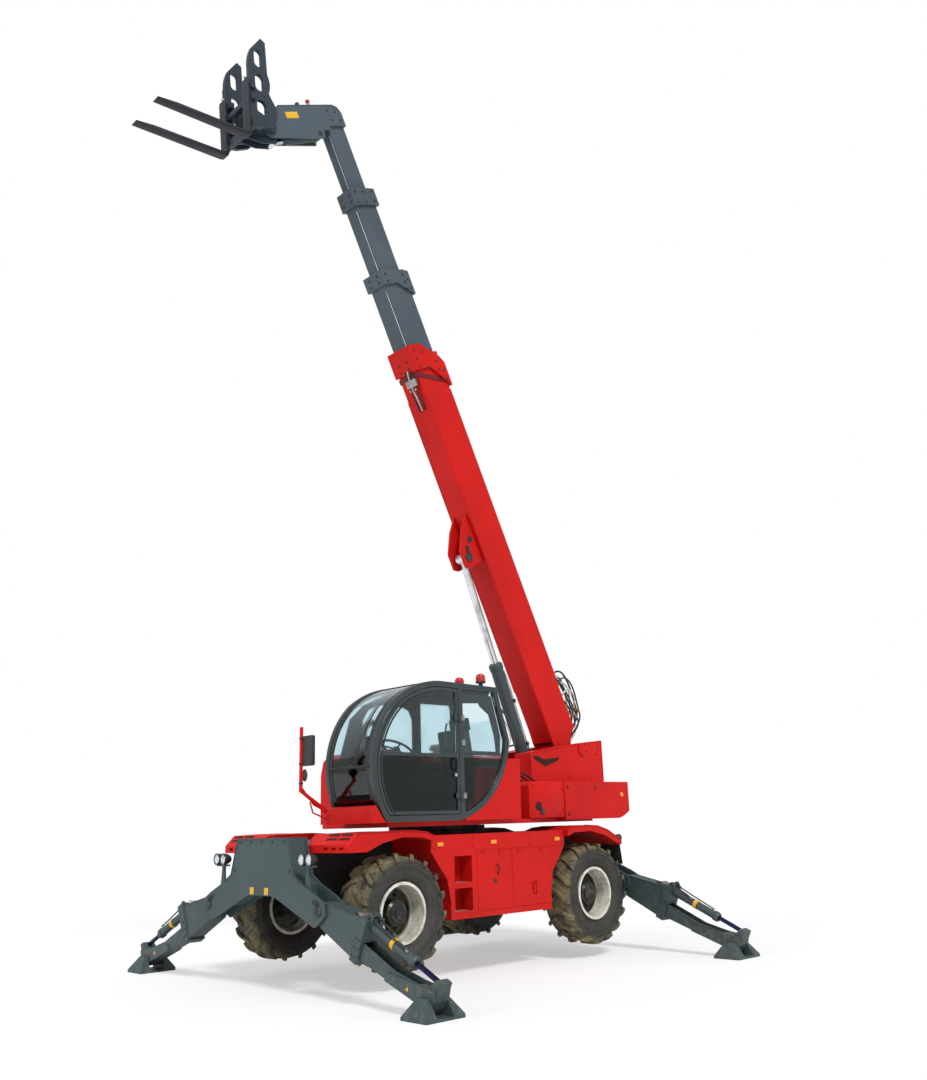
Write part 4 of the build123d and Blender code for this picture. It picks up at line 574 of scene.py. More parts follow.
def hex_bolts(spots, way, size, height):
    """Hexagon heads with washers, one at each spot, joined."""
    way = Vector(way).normalized()
    turn = way.to_track_quat("Z", "Y").to_euler()
    made = []
    for spot in spots:
        put_down()
        bpy.ops.mesh.primitive_cylinder_add(vertices=18, radius=size * 1.25, depth=height * 0.3,
                                            location=spot + way * height * 0.15, rotation=turn)
        made.append(bpy.context.object)
        bpy.ops.mesh.primitive_cylinder_add(vertices=6, radius=size, depth=height,
                                            location=spot + way * height * 0.6, rotation=turn)
        head = bpy.context.object
        bpy.ops.object.mode_set(mode="EDIT")
        bpy.ops.mesh.select_all(action="SELECT")
        bpy.ops.mesh.bevel(offset=size * 0.12, segments=1)
        bpy.ops.object.mode_set(mode="OBJECT")
        made.append(head)
    return join(made)


# --- wheels --------------------------------------------------------------------------------------
TREAD_LUGS = 17
CARCASS = ((0.296, 0.142), (0.318, 0.158), (0.345, 0.178), (0.385, 0.199), (0.43, 0.211), (0.47, 0.209),
           (0.503, 0.197), (0.527, 0.178), (0.541, 0.150), (0.547, 0.09))


def make_tyre(axle):
    """Carcass spun from its section, with angled bars laid round both halves of the tread."""
    half = [(y, r) for r, y in CARCASS]
    carcass = turned(half + [(0.0, 0.549)] + [(-y, r) for y, r in reversed(half)], axle, (0, 1, 0), 68)
    bars = []
    for side in (1, -1):
        put_down()
        bpy.ops.mesh.primitive_cube_add(size=1)
        bar = bpy.context.object
        bpy.ops.object.mode_set(mode="EDIT")
        bpy.ops.mesh.select_all(action="SELECT")
        bpy.ops.mesh.subdivide(number_cuts=5)
        bpy.ops.object.mode_set(mode="OBJECT")
        for corner in bar.data.vertices:
            across, out, up = corner.co.x, corner.co.y + 0.5, corner.co.z + 0.5
            along = 0.118 * out**1.25 + across * (0.050 + 0.012 * (1 - up))
            y = 0.006 + 0.206 * out
            shoulder = max(0.0, (out - 0.70) / 0.30)
            top = 0.579 - 0.030 * shoulder**1.6 - 0.004 * (1 - out)
            foot = 0.540 - 0.055 * shoulder**1.5
            r = foot + (top - foot) * up
            turn = along / 0.56 + (pi / TREAD_LUGS if side < 0 else 0.0)
            corner.co = (axle.x + r * sin(turn), axle.y + side * y, axle.z + r * cos(turn))
        close_up(bar)
        edge = bar.modifiers.new("edge", "BEVEL")
        edge.width, edge.segments, edge.limit_method, edge.angle_limit = 0.004, 1, "ANGLE", radians(50)
        bpy.ops.object.modifier_apply(modifier="edge")
        bars.append(bar)
        for k in range(1, TREAD_LUGS):
            pick(bar)
            bpy.ops.object.duplicate()
            copy = bpy.context.object
            copy.data.transform(Matrix.Translation(axle) @ Matrix.Rotation(2 * pi * k / TREAD_LUGS, 4, "Y")
                                @ Matrix.Translation(-axle))
            bars.append(copy)
    # raised rings round both walls
    rings = [turned([(side * (y + 0.001), r - 0.006), (side * (y + 0.005), r), (side * (y + 0.001), r + 0.006),
                     (side * (y - 0.004), r)], axle, (0, 1, 0), 68)
             for side in (1, -1) for r, y in ((0.335, 0.172), (0.445, 0.212))]
    return join([carcass] + bars + rings)


def around(axle, radius, count, shift=0.0):
    """Spots spread evenly round an axle that lies across the machine."""
    return [axle + Matrix.Rotation(2 * pi * (k + shift) / count, 3, "Y") @ Vector((0, 0, radius))
            for k in range(count)]


def dress_wheels():
    """One tyre is modelled and copied to the other wheels, and each gets its nuts, hub and valve."""
    master = first = None
    for corner, along, side in CORNERS:
        axle = at(along * AXLE_X, side * TYRE_Y, AXLE_Z)
        if master is None:
            tyre = master = make_tyre(axle)
            first = axle
        else:
            pick(master)
            bpy.ops.object.duplicate()
            tyre = bpy.context.object
            tyre.data.transform(Matrix.Translation(axle) @ Matrix.Rotation(0.0 if side > 0 else pi, 4, "Z")
                                @ Matrix.Rotation(0.37 * (2 + along + side), 4, "Y") @ Matrix.Translation(-first))
        settle(tyre, f"lugged_tyre_{corner}", f"wheel_{corner}", TYRE_RUBBER, smooth=40)
        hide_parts(f"tyre_{corner}")
        out = Vector((0, side, 0))
        nuts = hex_bolts(around(axle + out * -0.029, 0.170, 10, 0.5), out, 0.015, 0.026)
        settle(nuts, f"wheel_nuts_{corner}", f"wheel_{corner}", CAST)
        # planet carrier cover with its flange and small bolts
        cover = turned([(0.0, 0.0), (0.0, 0.106), (0.012, 0.106), (0.018, 0.098), (0.026, 0.074), (0.040, 0.066),
                        (0.046, 0.052), (0.046, 0.0)], axle + out * 0.086, out, 40)
        settle(cover, f"hub_cover_{corner}", f"wheel_{corner}", HUB_BLACK)
        bolts = hex_bolts(around(axle + out * 0.097, 0.090, 8), out, 0.008, 0.012)
        settle(bolts, f"hub_bolts_{corner}", f"wheel_{corner}", CAST)
        # stiffening ring pressed in the disc
        ring = turned([(-0.031, 0.218), (-0.018, 0.224), (-0.012, 0.236), (-0.018, 0.248), (-0.031, 0.254)],
                      axle, out, 56)
        settle(ring, f"disc_bead_{corner}", f"wheel_{corner}", RIM_PAINT)
        valve = round_bar(axle + out * -0.03 + Vector((0, 0, -0.262)), axle + out * 0.03 + Vector((0, 0, -0.250)),
                          0.004, 10)
        settle(valve, f"tyre_valve_{corner}", f"wheel_{corner}", TRIM)


dress_wheels()

# --- lamps on their posts ------------------------------------------------------------------------
LAMP_X, LAMP_Y, LAMP_Z, LAMP_R, LAMP_GAP = 2.44, 0.8, 1.27, 0.062, 0.064
lamp_parts = {"bowls": [], "mirrors": [], "lenses": [], "posts": []}
for side in (1, -1):
    for dy in (-LAMP_GAP, LAMP_GAP):
        middle = at(LAMP_X, side * LAMP_Y + dy, LAMP_Z)
        lamp_parts["bowls"].append(turned(
            [(-0.070, 0.0), (-0.070, 0.030), (-0.058, 0.040), (-0.020, 0.058), (0.010, 0.060), (0.012, LAMP_R),
             (0.024, LAMP_R), (0.024, 0.056), (0.004, 0.055), (-0.030, 0.044), (-0.055, 0.020), (-0.058, 0.0)],
            middle, (1, 0, 0), 40))
        lamp_parts["mirrors"].append(turned(
            [(-0.050, 0.0), (-0.046, 0.018), (-0.030, 0.038), (0.003, 0.053), (0.006, 0.053), (-0.027, 0.036),
             (-0.043, 0.016), (-0.046, 0.0)], middle, (1, 0, 0), 40))
        lamp_parts["mirrors"].append(turned(
            [(-0.046, 0.0), (-0.046, 0.011), (-0.020, 0.011), (-0.012, 0.006), (-0.012, 0.0)], middle, (1, 0, 0), 20))
        lamp_parts["lenses"].append(turned(
            [(0.012, 0.0), (0.012, 0.0555), (0.017, 0.0555), (0.025, 0.040), (0.029, 0.020), (0.030, 0.0)],
            middle, (1, 0, 0), 40))
    post = cut_plate([at(2.399, side * y, z) for y, z in
                      ((0.765, 1.262), (0.815, 1.262), (0.815, 1.16), (0.84, 0.965), (0.742, 0.965), (0.765, 1.16))],
                     (0.022, 0, 0))
    lamp_parts["posts"].append(post)
    lamp_parts["posts"].append(block(at(2.412, side * LAMP_Y, 1.205), (0.045, 0.215, 0.018)))
    for dy in (-LAMP_GAP, LAMP_GAP):
        foot = at(2.420, side * LAMP_Y + dy, 1.205)
        lamp_parts["posts"].append(round_bar(foot, foot + Vector((0, 0, 0.020)), 0.013))
settle(join(lamp_parts["bowls"]), "lamp_bowls", "chassis", TRIM)
settle(join(lamp_parts["mirrors"]), "lamp_reflectors", "chassis", CHROME, smooth=60)
settle(join(lamp_parts["lenses"]), "lamp_lenses", "chassis", LAMP_GLASS, smooth=60)
posts = settle(join(lamp_parts["posts"]), "lamp_posts", "chassis", SLATE_PAINT, bevel=0.003)
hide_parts("headlamps")

# --- stabiliser frames and outriggers ------------------------------------------------------------
def dress_outrigger(corner, along, side):
    """Fittings of one outrigger; t runs along its arm from the pivot, n up from it, x across it."""
    def spot(t, n, x=0.0):
        return at(along * (OUT_X + x), side * (PIVOT_Y + t * cos(OUT_TURN) - n * sin(OUT_TURN)),
                  PIVOT_Z + t * sin(OUT_TURN) + n * cos(OUT_TURN))

    arm, leg, foot = f"arm_{corner}", f"leg_{corner}", f"foot_{corner}"
    reach = (spot(1, 0) - spot(0, 0)).normalized()
    ahead = Vector((along, 0, 0))
    # gland nut and end cap of the cylinder, and the band round its middle
    gland = turned([(0.0, 0.0255), (0.0, 0.052), (0.012, 0.056), (0.05, 0.056), (0.060, 0.050), (0.072, 0.046),
                    (0.072, 0.0255)], spot(1.262, CYLINDER_N), reach, 32)
    settle(gland, f"gland_{corner}", arm, SLATE_PAINT, smooth=30)
    band = turned([(0.0, 0.0465), (0.0, 0.051), (0.045, 0.051), (0.045, 0.0465)], spot(0.98, CYLINDER_N), reach, 32)
    settle(band, f"yellow_band_{corner}", arm, YELLOW)
    cap = turned([(0.0, 0.030), (0.0, 0.040), (0.010, 0.050), (0.03, 0.050), (0.03, 0.030)],
                 spot(0.698, CYLINDER_N), reach, 28)
    settle(cap, f"cylinder_cap_{corner}", arm, SLATE_PAINT)
    # bolted lug on the collar, with its pin
    lug_outline = [(0.60, 0.20), (0.615, 0.285), (0.650, 0.305), (0.685, 0.285), (0.70, 0.235), (0.70, 0.20)]
    lugs = [cut_plate([spot(t, n, x) for t, n in lug_outline], ahead * 0.016) for x in (-0.055, 0.039)]
    settle(join(lugs), f"collar_lugs_{corner}", arm, SLATE_PAINT, bevel=0.003)
    pin = round_bar(spot(0.650, 0.268, -0.07), spot(0.650, 0.268, 0.07), 0.016)
    settle(pin, f"lug_pin_{corner}", arm, CAST, bevel=0.002)
    # two pipes with their fittings along the barrel
    for number, (x, bend, end) in enumerate(((-0.034, 0.90, 0.93), (0.034, 1.02, 1.20))):
        line = pipe([spot(t, n, x) for t, n in ((0.42, 0.19), (0.52, 0.215), (0.60, 0.250), (0.72, 0.262),
                                                (0.84, 0.250), (bend, 0.243), (end, 0.236))], 0.008)
        settle(line, f"cylinder_pipe_{number}_{corner}", arm, HOSE, smooth=60)
        fitting = turned([(0.0, 0.0), (0.0, 0.013), (0.022, 0.013), (0.024, 0.010), (0.036, 0.010), (0.036, 0.0)],
                         spot(end - 0.01, 0.236, x), reach, 6)
        settle(fitting, f"pipe_fitting_{number}_{corner}", arm, ZINC)
    block_on = block(spot(0.52, 0.212), (0.11, 0.07, 0.05))
    block_on.rotation_euler = (side * OUT_TURN, 0, 0)
    settle(block_on, f"valve_block_{corner}", arm, ZINC, bevel=0.004)
    # pivot pin's heads with their keeper plates
    for way, name in ((1, "outer"), (-1, "inner")):
        x = way * 0.121
        head = turned([(0.0, 0.0), (0.0, 0.052), (0.010, 0.052), (0.014, 0.046), (0.014, 0.0)],
                      spot(0, 0, x), ahead * way, 32)
        keeper = cut_plate([spot(t, n, x + way * 0.014) for t, n in
                            ((-0.11, 0.035), (-0.03, 0.035), (-0.03, 0.065), (-0.11, 0.065))], ahead * way * 0.008)
        bolts = hex_bolts([spot(-0.095, 0.05, x + way * 0.022), spot(-0.05, 0.05, x + way * 0.022)], ahead * way,
                          0.009, 0.009)
        settle(join([head, keeper, bolts]), f"pivot_keeper_{name}_{corner}", "chassis", CAST)
    # wear pad bolts on the collar's flanks and cap screws on the foot pin
    for way, name in ((1, "outer"), (-1, "inner")):
        x = way * 0.108
        bolts = hex_bolts([spot(0.60 + 0.05 * k, n, x) for k in range(2) for n in (-0.11, -0.03, 0.05)],
                          ahead * way, 0.008, 0.008)
        settle(bolts, f"pad_bolts_{name}_{corner}", arm, CAST)
        cap = turned([(0.0, 0.0), (0.0, 0.036), (0.008, 0.036), (0.012, 0.028), (0.012, 0.0)],
                     at(along * (OUT_X + way * 0.101), side * FOOT_Y, FOOT_Z), ahead * way, 24)
        settle(cap, f"foot_pin_cap_{name}_{corner}", foot, CAST)
    # blank three-cornered tag on the leg
    tag = cut_plate([spot(1.36, -0.02, 0.0905), spot(1.40, -0.02, 0.0905), spot(1.38, 0.016, 0.0905)], ahead * 0.002)
    settle(tag, f"yellow_tag_{corner}", leg, YELLOW)
    # stiffening beads welded along the arm's edges
    for x, label in ((-0.09, "b"), (0.09, "a")):
        weld = pipe([spot(0.03, 0.098, x), spot(0.30, 0.157, x), spot(0.56, 0.2145, x)], 0.005, "POLY", 1)
        settle(weld, f"edge_weld_{label}_{corner}", arm, SLATE_PAINT, smooth=60)
    # ribs that stiffen the foot's plate
    ribs = []
    for out in (-1, 1):
        for y in (-0.085, 0.085):
            ribs.append(cut_plate([at(along * (OUT_X + out * x), side * (FOOT_Y + y), z) for x, z in
                                   ((0.099, 0.022), (0.205, 0.022), (0.205, 0.030), (0.120, 0.135), (0.099, 0.135))],
                                  (0, side * 0.010, 0)))
    settle(join(ribs), f"foot_ribs_{corner}", foot, SLATE_PAINT, bevel=0.0015)


for corner, along, side in CORNERS:
    dress_outrigger(corner, along, side)

# the two ends of the chassis: plate with its bolts and blank tags, deck cover, steering cylinder and differential
PLATE_X = 2.448
for along, end in ((1, "front"), (-1, "rear")):
    face = at(along * PLATE_X, 0, 0)
    way = Vector((along, 0, 0))
    spots = [face + Vector((0, y, z)) for y, z in ((0.42, 1.44), (-0.42, 1.44), (0.20, 1.44), (-0.20, 1.44), (0, 1.44),
                                                   (0.52, 1.16), (-0.52, 1.16))]
    settle(hex_bolts(spots, way, 0.011, 0.012), f"plate_bolts_{end}", "chassis", SLATE_PAINT)
    tag = ((-0.036, 0.925), (0.036, 0.925), (0.036, 0.995), (-0.036, 0.995))
    tags = [cut_plate([face + Vector((0, y + dy, z)) for dy, z in tag], way * 0.003) for y in (-0.16, 0.11)]
    settle(join(tags), f"yellow_tags_{end}", "chassis", YELLOW, bevel=0.0008)
    # rolled edge over the plate and the ribbed cover behind it
    rail = pipe([face + Vector((0, y, z)) for y, z in ((-0.70, 1.045), (-0.58, 1.115), (-0.465, 1.472), (0.465, 1.472),
                                                       (0.58, 1.115), (0.70, 1.045))], 0.007, "POLY", 1)
    settle(rail, f"plate_edge_{end}", "chassis", SLATE_PAINT, smooth=60)
    cover = cut_plate([at(along * x, y, z) for x, y, z in ((1.42, -0.43, 1.437), (1.42, 0.43, 1.437),
                                                           (2.18, 0.43, 1.402), (2.18, -0.43, 1.402))], (0, 0, 0.012))
    settle(cover, f"deck_cover_{end}", "chassis", COVER_BLUE, bevel=0.003)
    spots = [at(along * (1.46 + 0.17 * k), y, 1.447 - 0.0078 * k) for k in range(5) for y in (-0.40, 0.40)]
    settle(hex_bolts(spots, (0, 0, 1), 0.010, 0.010), f"cover_bolts_{end}", "chassis", ZINC)
    # steering cylinder across the axle, with its clamps
    z = AXLE_Z - 0.13
    tie = round_bar(at(along * 1.36, -0.30, z), at(along * 1.36, 0.30, z), 0.042, 24)
    ends = [turned([(0.0, 0.0), (0.0, 0.047), (0.02, 0.050), (0.05, 0.047), (0.05, 0.0)],
                   at(along * 1.36, s * 0.27, z), (0, s, 0), 24) for s in (1, -1)]
    clamps = [block(at(along * 1.385, s * 0.18, z + 0.035), (0.11, 0.05, 0.075)) for s in (1, -1)]
    settle(join([tie] + ends + clamps), f"steering_cylinder_{end}", "chassis", CAST, bevel=0.003)
    cover = turned([(0.0, 0.0), (0.0, 0.150), (0.012, 0.156), (0.024, 0.150), (0.040, 0.110), (0.046, 0.0)],
                   at(along * (AXLE_X + 0.150), 0, AXLE_Z), (along, 0, 0), 36)
    settle(cover, f"differential_cover_{end}", "chassis", CAST)
    spots = [at(along * (AXLE_X + 0.160), 0.138 * cos(a), AXLE_Z + 0.138 * sin(a))
             for a in (2 * pi * k / 10 for k in range(10))]
    settle(hex_bolts(spots, (along, 0, 0), 0.009, 0.016), f"differential_bolts_{end}", "chassis", CAST)

shaft = turned([(-0.99, 0.0), (-0.99, 0.060), (-0.96, 0.060), (-0.95, 0.036), (0.95, 0.036), (0.96, 0.060),
                (0.99, 0.060), (0.99, 0.0)], at(0, 0, 0.585), (1, 0, 0), 28)
settle(shaft, "drive_shaft", "chassis", CAST)
guards = [cut_plate([at(x, y, z) for y, z in ((-0.12, 0.62), (-0.12, 0.52), (-0.08, 0.50), (0.08, 0.50), (0.12, 0.52),
                                              (0.12, 0.62), (0.11, 0.62), (0.11, 0.53), (0.075, 0.51), (-0.075, 0.51),
                                              (-0.11, 0.53), (-0.11, 0.62))], (0.05, 0, 0)) for x in (-0.6, 0.0, 0.55)]
settle(join(guards), "shaft_guards", "chassis", UNDER_BLACK, bevel=0.002)

# --- slew bearing --------------------------------------------------------------------------------
bearing = turned([(0.0, 0.46), (0.0, 0.56), (0.032, 0.56), (0.036, 0.548), (0.046, 0.548), (0.05, 0.575),
                  (0.09, 0.575), (0.09, 0.46)], at(0, 0, 1.457), (0, 0, 1), 96)
settle(bearing, "slew_bearing", "chassis", CAST, smooth=25)
spots = [at(0.535 * cos(a), 0.535 * sin(a), 1.489) for a in (2 * pi * k / 36 for k in range(36))]
settle(hex_bolts(spots, (0, 0, 1), 0.009, 0.010), "bearing_bolts", "chassis", ZINC)

# --- side boxes and fenders ----------------------------------------------------------------------
BOX_FACE, FENDER_Y = 1.085, 1.150
for low in (0.650, 0.940):
    tread = block(at(0.60, 1.0, low + 0.006), (0.248, 0.165, 0.012))
    settle(tread, f"step_tread_{int(low * 100)}", "chassis", ZINC, bevel=0.003)
    studs = []
    for i in range(9):
        for j in range(5):
            foot = at(0.497 + 0.0258 * i, 0.938 + 0.031 * j, low + 0.012)
            studs.append(round_bar(foot, foot + Vector((0, 0, 0.006)), 0.008, 8, 0.005))
    settle(join(studs), f"step_studs_{int(low * 100)}", "chassis", ZINC)
    lip = cut_plate([at(x, 1.083, z) for x, z in ((0.470, low - 0.004), (0.730, low - 0.004), (0.730, low + 0.020),
                                                  (0.470, low + 0.020))], (0, 0.007, 0))
    settle(lip, f"step_lip_{int(low * 100)}", "chassis", RED_PAINT, bevel=0.003)
for side, hand in SIDES:
    hinges = []
    for x in (-0.66, -0.28, 0.02, 0.28):
        y = side * (BOX_FACE + 0.004)
        hinges.append(round_bar(at(x - 0.035, y, 1.262), at(x + 0.035, y, 1.262), 0.009, 14))
        hinges.append(block(at(x, side * (BOX_FACE + 0.003), 1.240), (0.06, 0.006, 0.045)))
    settle(join(hinges), f"box_hinges_{hand}", "chassis", RED_PAINT, bevel=0.0015)
    for x, z in ((-0.93, 1.36), (0.13, 1.36), (0.93, 1.36)):
        lens = block(at(x, side * (BOX_FACE + 0.006), z), (0.085, 0.012, 0.042))
        settle(lens, f"side_reflector_{int(x * 100 + 200)}_{hand}", "chassis", AMBER, bevel=0.004)
    spots = [at(x, side * BOX_FACE, z) for x in (-1.02, -0.45, 0.45, 1.02) for z in (1.32, 1.42)]
    bolts = hex_bolts(spots, (0, side, 0), 0.009, 0.009)
    settle(bolts, f"box_bolts_{hand}", "chassis", RED_PAINT)
    lock = turned([(0.0, 0.0), (0.0, 0.024), (0.006, 0.024), (0.010, 0.018), (0.010, 0.0)],
                  at(0.12, side * BOX_FACE, 0.95), (0, side, 0), 24)
    settle(lock, f"door_lock_{hand}", "chassis", TRIM)
    pull = pipe([at(0.08, side * (BOX_FACE + dy), z) for dy, z in ((0, 1.02), (0.035, 1.03), (0.035, 1.11), (0, 1.12))],
                0.007)
    settle(pull, f"door_pull_{hand}", "chassis", TRIM, smooth=60)
    # rolled edges of the fenders, from the box round to the end
    front = pipe([at(x, side * FENDER_Y, z) for x, z in ((1.07, 1.452), (1.18, 1.492), (1.34, 1.508), (1.50, 1.512),
                                                         (1.80, 1.510), (2.075, 1.502), (2.18, 1.398), (2.182, 1.325))],
                 0.008, "POLY", 1)
    rear = pipe([at(-x, side * FENDER_Y, z) for x, z in ((1.07, 1.452), (1.20, 1.487), (1.40, 1.502), (1.62, 1.489),
                                                         (1.81, 1.438), (2.03, 1.328), (2.073, 1.285))],
                0.008, "POLY", 1)
    settle(join([front, rear]), f"fender_edges_{hand}", "chassis", RED_PAINT, smooth=60)
    # dark plates across the slope of the front flap, painted shade standing for long openings
    slots = []
    for y in (1.01, 0.80):
        for x, z in ((2.096, 1.488), (2.134, 1.449)):
            slots.append(cut_plate([at(x + dx, side * (y + dy), z + dz) for dx, dz, dy in
                                    ((-0.009, 0.0125, -0.085), (0.009, -0.006, -0.085), (0.009, -0.006, 0.085),
                                     (-0.009, 0.0125, 0.085))], (0.002, 0, 0.002)))
    settle(join(slots), f"flap_slots_{hand}", "chassis", RECESS_SHADE)
    flap = cut_plate([at(-x, side * 0.70, z) for x, z in ((2.066, 1.262), (2.074, 1.262), (2.110, 1.02),
                                                          (2.102, 1.02))], (0, side * 0.42, 0))
    settle(flap, f"mud_flap_{hand}", "chassis", TRIM, bevel=0.002)
    tail = turned([(-0.05, 0.0), (-0.05, 0.032), (-0.02, 0.045), (0.012, 0.046), (0.016, 0.040), (0.020, 0.0)],
                  at(-2.105, side * 1.08, 1.335), (-1, 0, 0), 28)
    settle(tail, f"tail_lamp_{hand}", "chassis", TAIL_GREEN, smooth=50)
    stay = cut_plate([at(x, side * 1.07, z) for x, z in ((-2.02, 1.322), (-2.06, 1.352), (-2.10, 1.352), (-2.10, 1.325),
                                                         (-2.06, 1.300))], (0, side * 0.02, 0))
    settle(stay, f"tail_stay_{hand}", "chassis", UNDER_BLACK, bevel=0.002)

# --- cab -----------------------------------------------------------------------------------------
FLOOR, ROOF = 1.60, 3.09
SEAT_Y = 0.75


def arc(first, through, last, steps):
    """Points of the arc through three points, each (x, z), by the circle round their triangle."""
    (ax, az), (bx, bz), (cx, cz) = first, through, last
    d = 2 * (ax * (bz - cz) + bx * (cz - az) + cx * (az - bz))
    ux = ((ax**2 + az**2) * (bz - cz) + (bx**2 + bz**2) * (cz - az) + (cx**2 + cz**2) * (az - bz)) / d
    uz = ((ax**2 + az**2) * (cx - bx) + (bx**2 + bz**2) * (ax - cx) + (cx**2 + cz**2) * (bx - ax)) / d
    r = sqrt((ax - ux)**2 + (az - uz)**2)
    start, end = atan2(az - uz, ax - ux), atan2(cz - uz, cx - ux)
    while end - start > pi:
        end -= 2 * pi
    while start - end > pi:
        end += 2 * pi
    return [(ux + r * cos(start + (end - start) * k / steps), uz + r * sin(start + (end - start) * k / steps))
            for k in range(steps + 1)]


FRONT_ARC = arc((1.700, FLOOR), (1.890, 2.200), (1.590, 2.850), 16) + arc((1.590, 2.850), (1.290, 3.020),
                                                                        (0.940, ROOF), 8)[1:]
REAR_ARC = arc((-0.125, 2.480), (0.110, 1.925), (0.700, FLOOR), 14)


def inwards(points, inset):
    """The points of an outline moved inwards, square to it."""
    moved = []
    for k, (x, z) in enumerate(points):
        (x0, z0), (x1, z1) = points[max(k - 1, 0)], points[min(k + 1, len(points) - 1)]
        long = sqrt((x1 - x0)**2 + (z1 - z0)**2)
        moved.append((x - (z1 - z0) / long * inset, z + (x1 - x0) / long * inset))
    return moved


# rubber seals of the windscreen, on its outside
screen = [p for p in FRONT_ARC if p[1] > 1.80 and p[0] > 1.0]
outside = inwards(screen, 0.009)
for y0, y1, label in ((1.093, 1.035, "outer"), (0.402, 0.458, "inner")):
    seal = cut_plate([at(x, y0, z) for x, z in outside] + [at(x, y0, z) for x, z in inwards(screen, 0.0055)][::-1],
                     (0, y1 - y0, 0))
    settle(seal, f"windscreen_seal_{label}", "turret", TRIM, smooth=50)
x, z = outside[-1]
header = cut_plate([at(x + 0.13, 1.09, z - 0.022), at(x + 0.13, 0.405, z - 0.022), at(x - 0.05, 0.405, z + 0.004),
                    at(x - 0.05, 1.09, z + 0.004)], (0, 0, 0.008))
settle(header, "windscreen_header", "turret", TRIM, bevel=0.002)
# joint between the clear upper pane and the dark lower one
x, z = min(outside, key=lambda point: abs(point[1] - 2.20))
rail = round_bar(at(x + 0.004, 0.41, z), at(x + 0.004, 1.085, z), 0.013)
settle(rail, "windscreen_joint", "turret", TRIM)
# dark border of the rear quarter window
border = ring_plate(
    [at(x, 1.104, z) for x, z in ((0.598, 2.30), (0.598, 2.985), (0.36, 2.98), (0.115, 2.972), (0.04, 2.72),
                                  (-0.015, 2.52), (0.0, 2.30))],
    [at(x, 1.104, z) for x, z in ((0.588, 2.345), (0.588, 2.865), (0.32, 2.880), (0.30, 2.845), (0.165, 2.76),
                                  (0.085, 2.52), (0.065, 2.345))], (0, 0.006, 0))
settle(border, "quarter_border", "turret", TRIM)
# dark head lining seen through the glass
lining = cut_plate([at(x, 1.085, z) for x, z in ((0.10, 3.025), (1.02, 3.025), (1.20, 2.975), (1.06, 2.965),
                                                 (0.62, 2.93), (0.16, 2.93))], (0, -0.675, 0))
settle(lining, "head_lining", "turret", SEAT_CLOTH, bevel=0.006)
for x, name in ((0.635, "middle"), (0.08, "rear")):
    post = block(at(x, 0.415, 2.55), (0.075, 0.03, 0.86))
    settle(post, f"inner_trim_{name}", "turret", TRIM, bevel=0.006)
# far window's dark border, with an arched head
opening = ((0.71, 2.30), (0.71, 2.74), (0.76, 2.84), (0.86, 2.88), (1.20, 2.88), (1.34, 2.82), (1.42, 2.70),
           (1.47, 2.30))
outer = ((0.67, 2.26), (0.67, 2.80), (0.67, 3.02), (0.90, 3.01), (1.20, 2.96), (1.42, 2.86), (1.60, 2.70),
         (1.74, 2.26))
ring = ring_plate([at(x, 0.392, z) for x, z in outer], [at(x, 0.392, z) for x, z in opening], (0, 0.006, 0))
settle(ring, "far_window_border", "turret", TRIM, smooth=50)
# dark sheet under the far window: painted shade of the cab's dim lower inside
shade = cut_plate([at(x, 0.392, z) for x, z in ((0.67, 1.68), (0.67, 2.26), (1.74, 2.26), (1.76, 2.05), (1.70, 1.68))],
                  (0, 0.006, 0))
settle(shade, "far_lower_shade_sheet", "turret", TRIM)
# wiper: motor cap, arm and blade over the windscreen
wiper_arc = inwards(FRONT_ARC, -0.016)
motor = turned([(0.0, 0.0), (0.0, 0.026), (0.02, 0.024), (0.026, 0.012), (0.026, 0.0)], at(1.845, 0.92, 2.17),
               (1, 0, 0.1), 24)
settle(motor, "wiper_motor", "turret", TRIM)
arm_points = [(x, z) for x, z in wiper_arc if 2.16 < z < 2.86]
reach = len(arm_points) - 1
wiper = [pipe([at(x + off, y + swing * k / reach, z) for k, (x, z) in enumerate(row)], radius, "NURBS", 1)
         for row, off, y, swing, radius in ((arm_points, 0.012, 0.92, 0.09, 0.007),
                                            (arm_points, 0.012, 0.88, 0.09, 0.005),
                                            (arm_points[1:], 0.002, 0.965, 0.03, 0.006))]
settle(join(wiper), "windscreen_wiper", "turret", TRIM, smooth=60)

# driver's place: seat, column, wheel, levers and instruments
base = block(at(0.56, SEAT_Y, 1.735), (0.40, 0.38, 0.16))
bellows = [block(at(0.56, SEAT_Y, 1.83 + 0.03 * k), (0.36 - 0.02 * (k % 2), 0.34 - 0.02 * (k % 2), 0.026))
           for k in range(3)]
seat_base = settle(join([base] + bellows), "seat_base", "turret", TRIM, bevel=0.006)


def cushion(name, middle, size, lean, crown):
    """Crowned pad: a cube drawn out, subdivided, its sides pulled in between its corners."""
    put_down()
    bpy.ops.mesh.primitive_cube_add(size=1)
    pad = bpy.context.object
    bpy.ops.object.mode_set(mode="EDIT")
    bpy.ops.mesh.select_all(action="SELECT")
    bpy.ops.mesh.subdivide(number_cuts=7)
    bpy.ops.object.mode_set(mode="OBJECT")
    for corner in pad.data.vertices:
        x, y, z = corner.co
        bulge = (1 - (2 * x)**4) * (1 - (2 * y)**4)
        pull = 1 - 0.06 * (1 - (2 * z)**2)
        seam = 0.10 * max(0.0, 1 - abs(abs(2 * y) - 0.62) / 0.10)
        corner.co = (x * size[0] * (pull - 0.02), y * size[1] * pull,
                     z * size[2] * (1 + crown * bulge - (seam if z > 0.4 else 0)))
    pad.data.transform(Matrix.Translation(middle) @ Matrix.Rotation(radians(lean), 4, "Y"))
    soft = pad.modifiers.new("soft", "SUBSURF")
    soft.levels = soft.render_levels = 1
    pick(pad)
    bpy.ops.object.modifier_apply(modifier="soft")
    settle(pad, name, "turret", SEAT_GREEN, smooth=80)


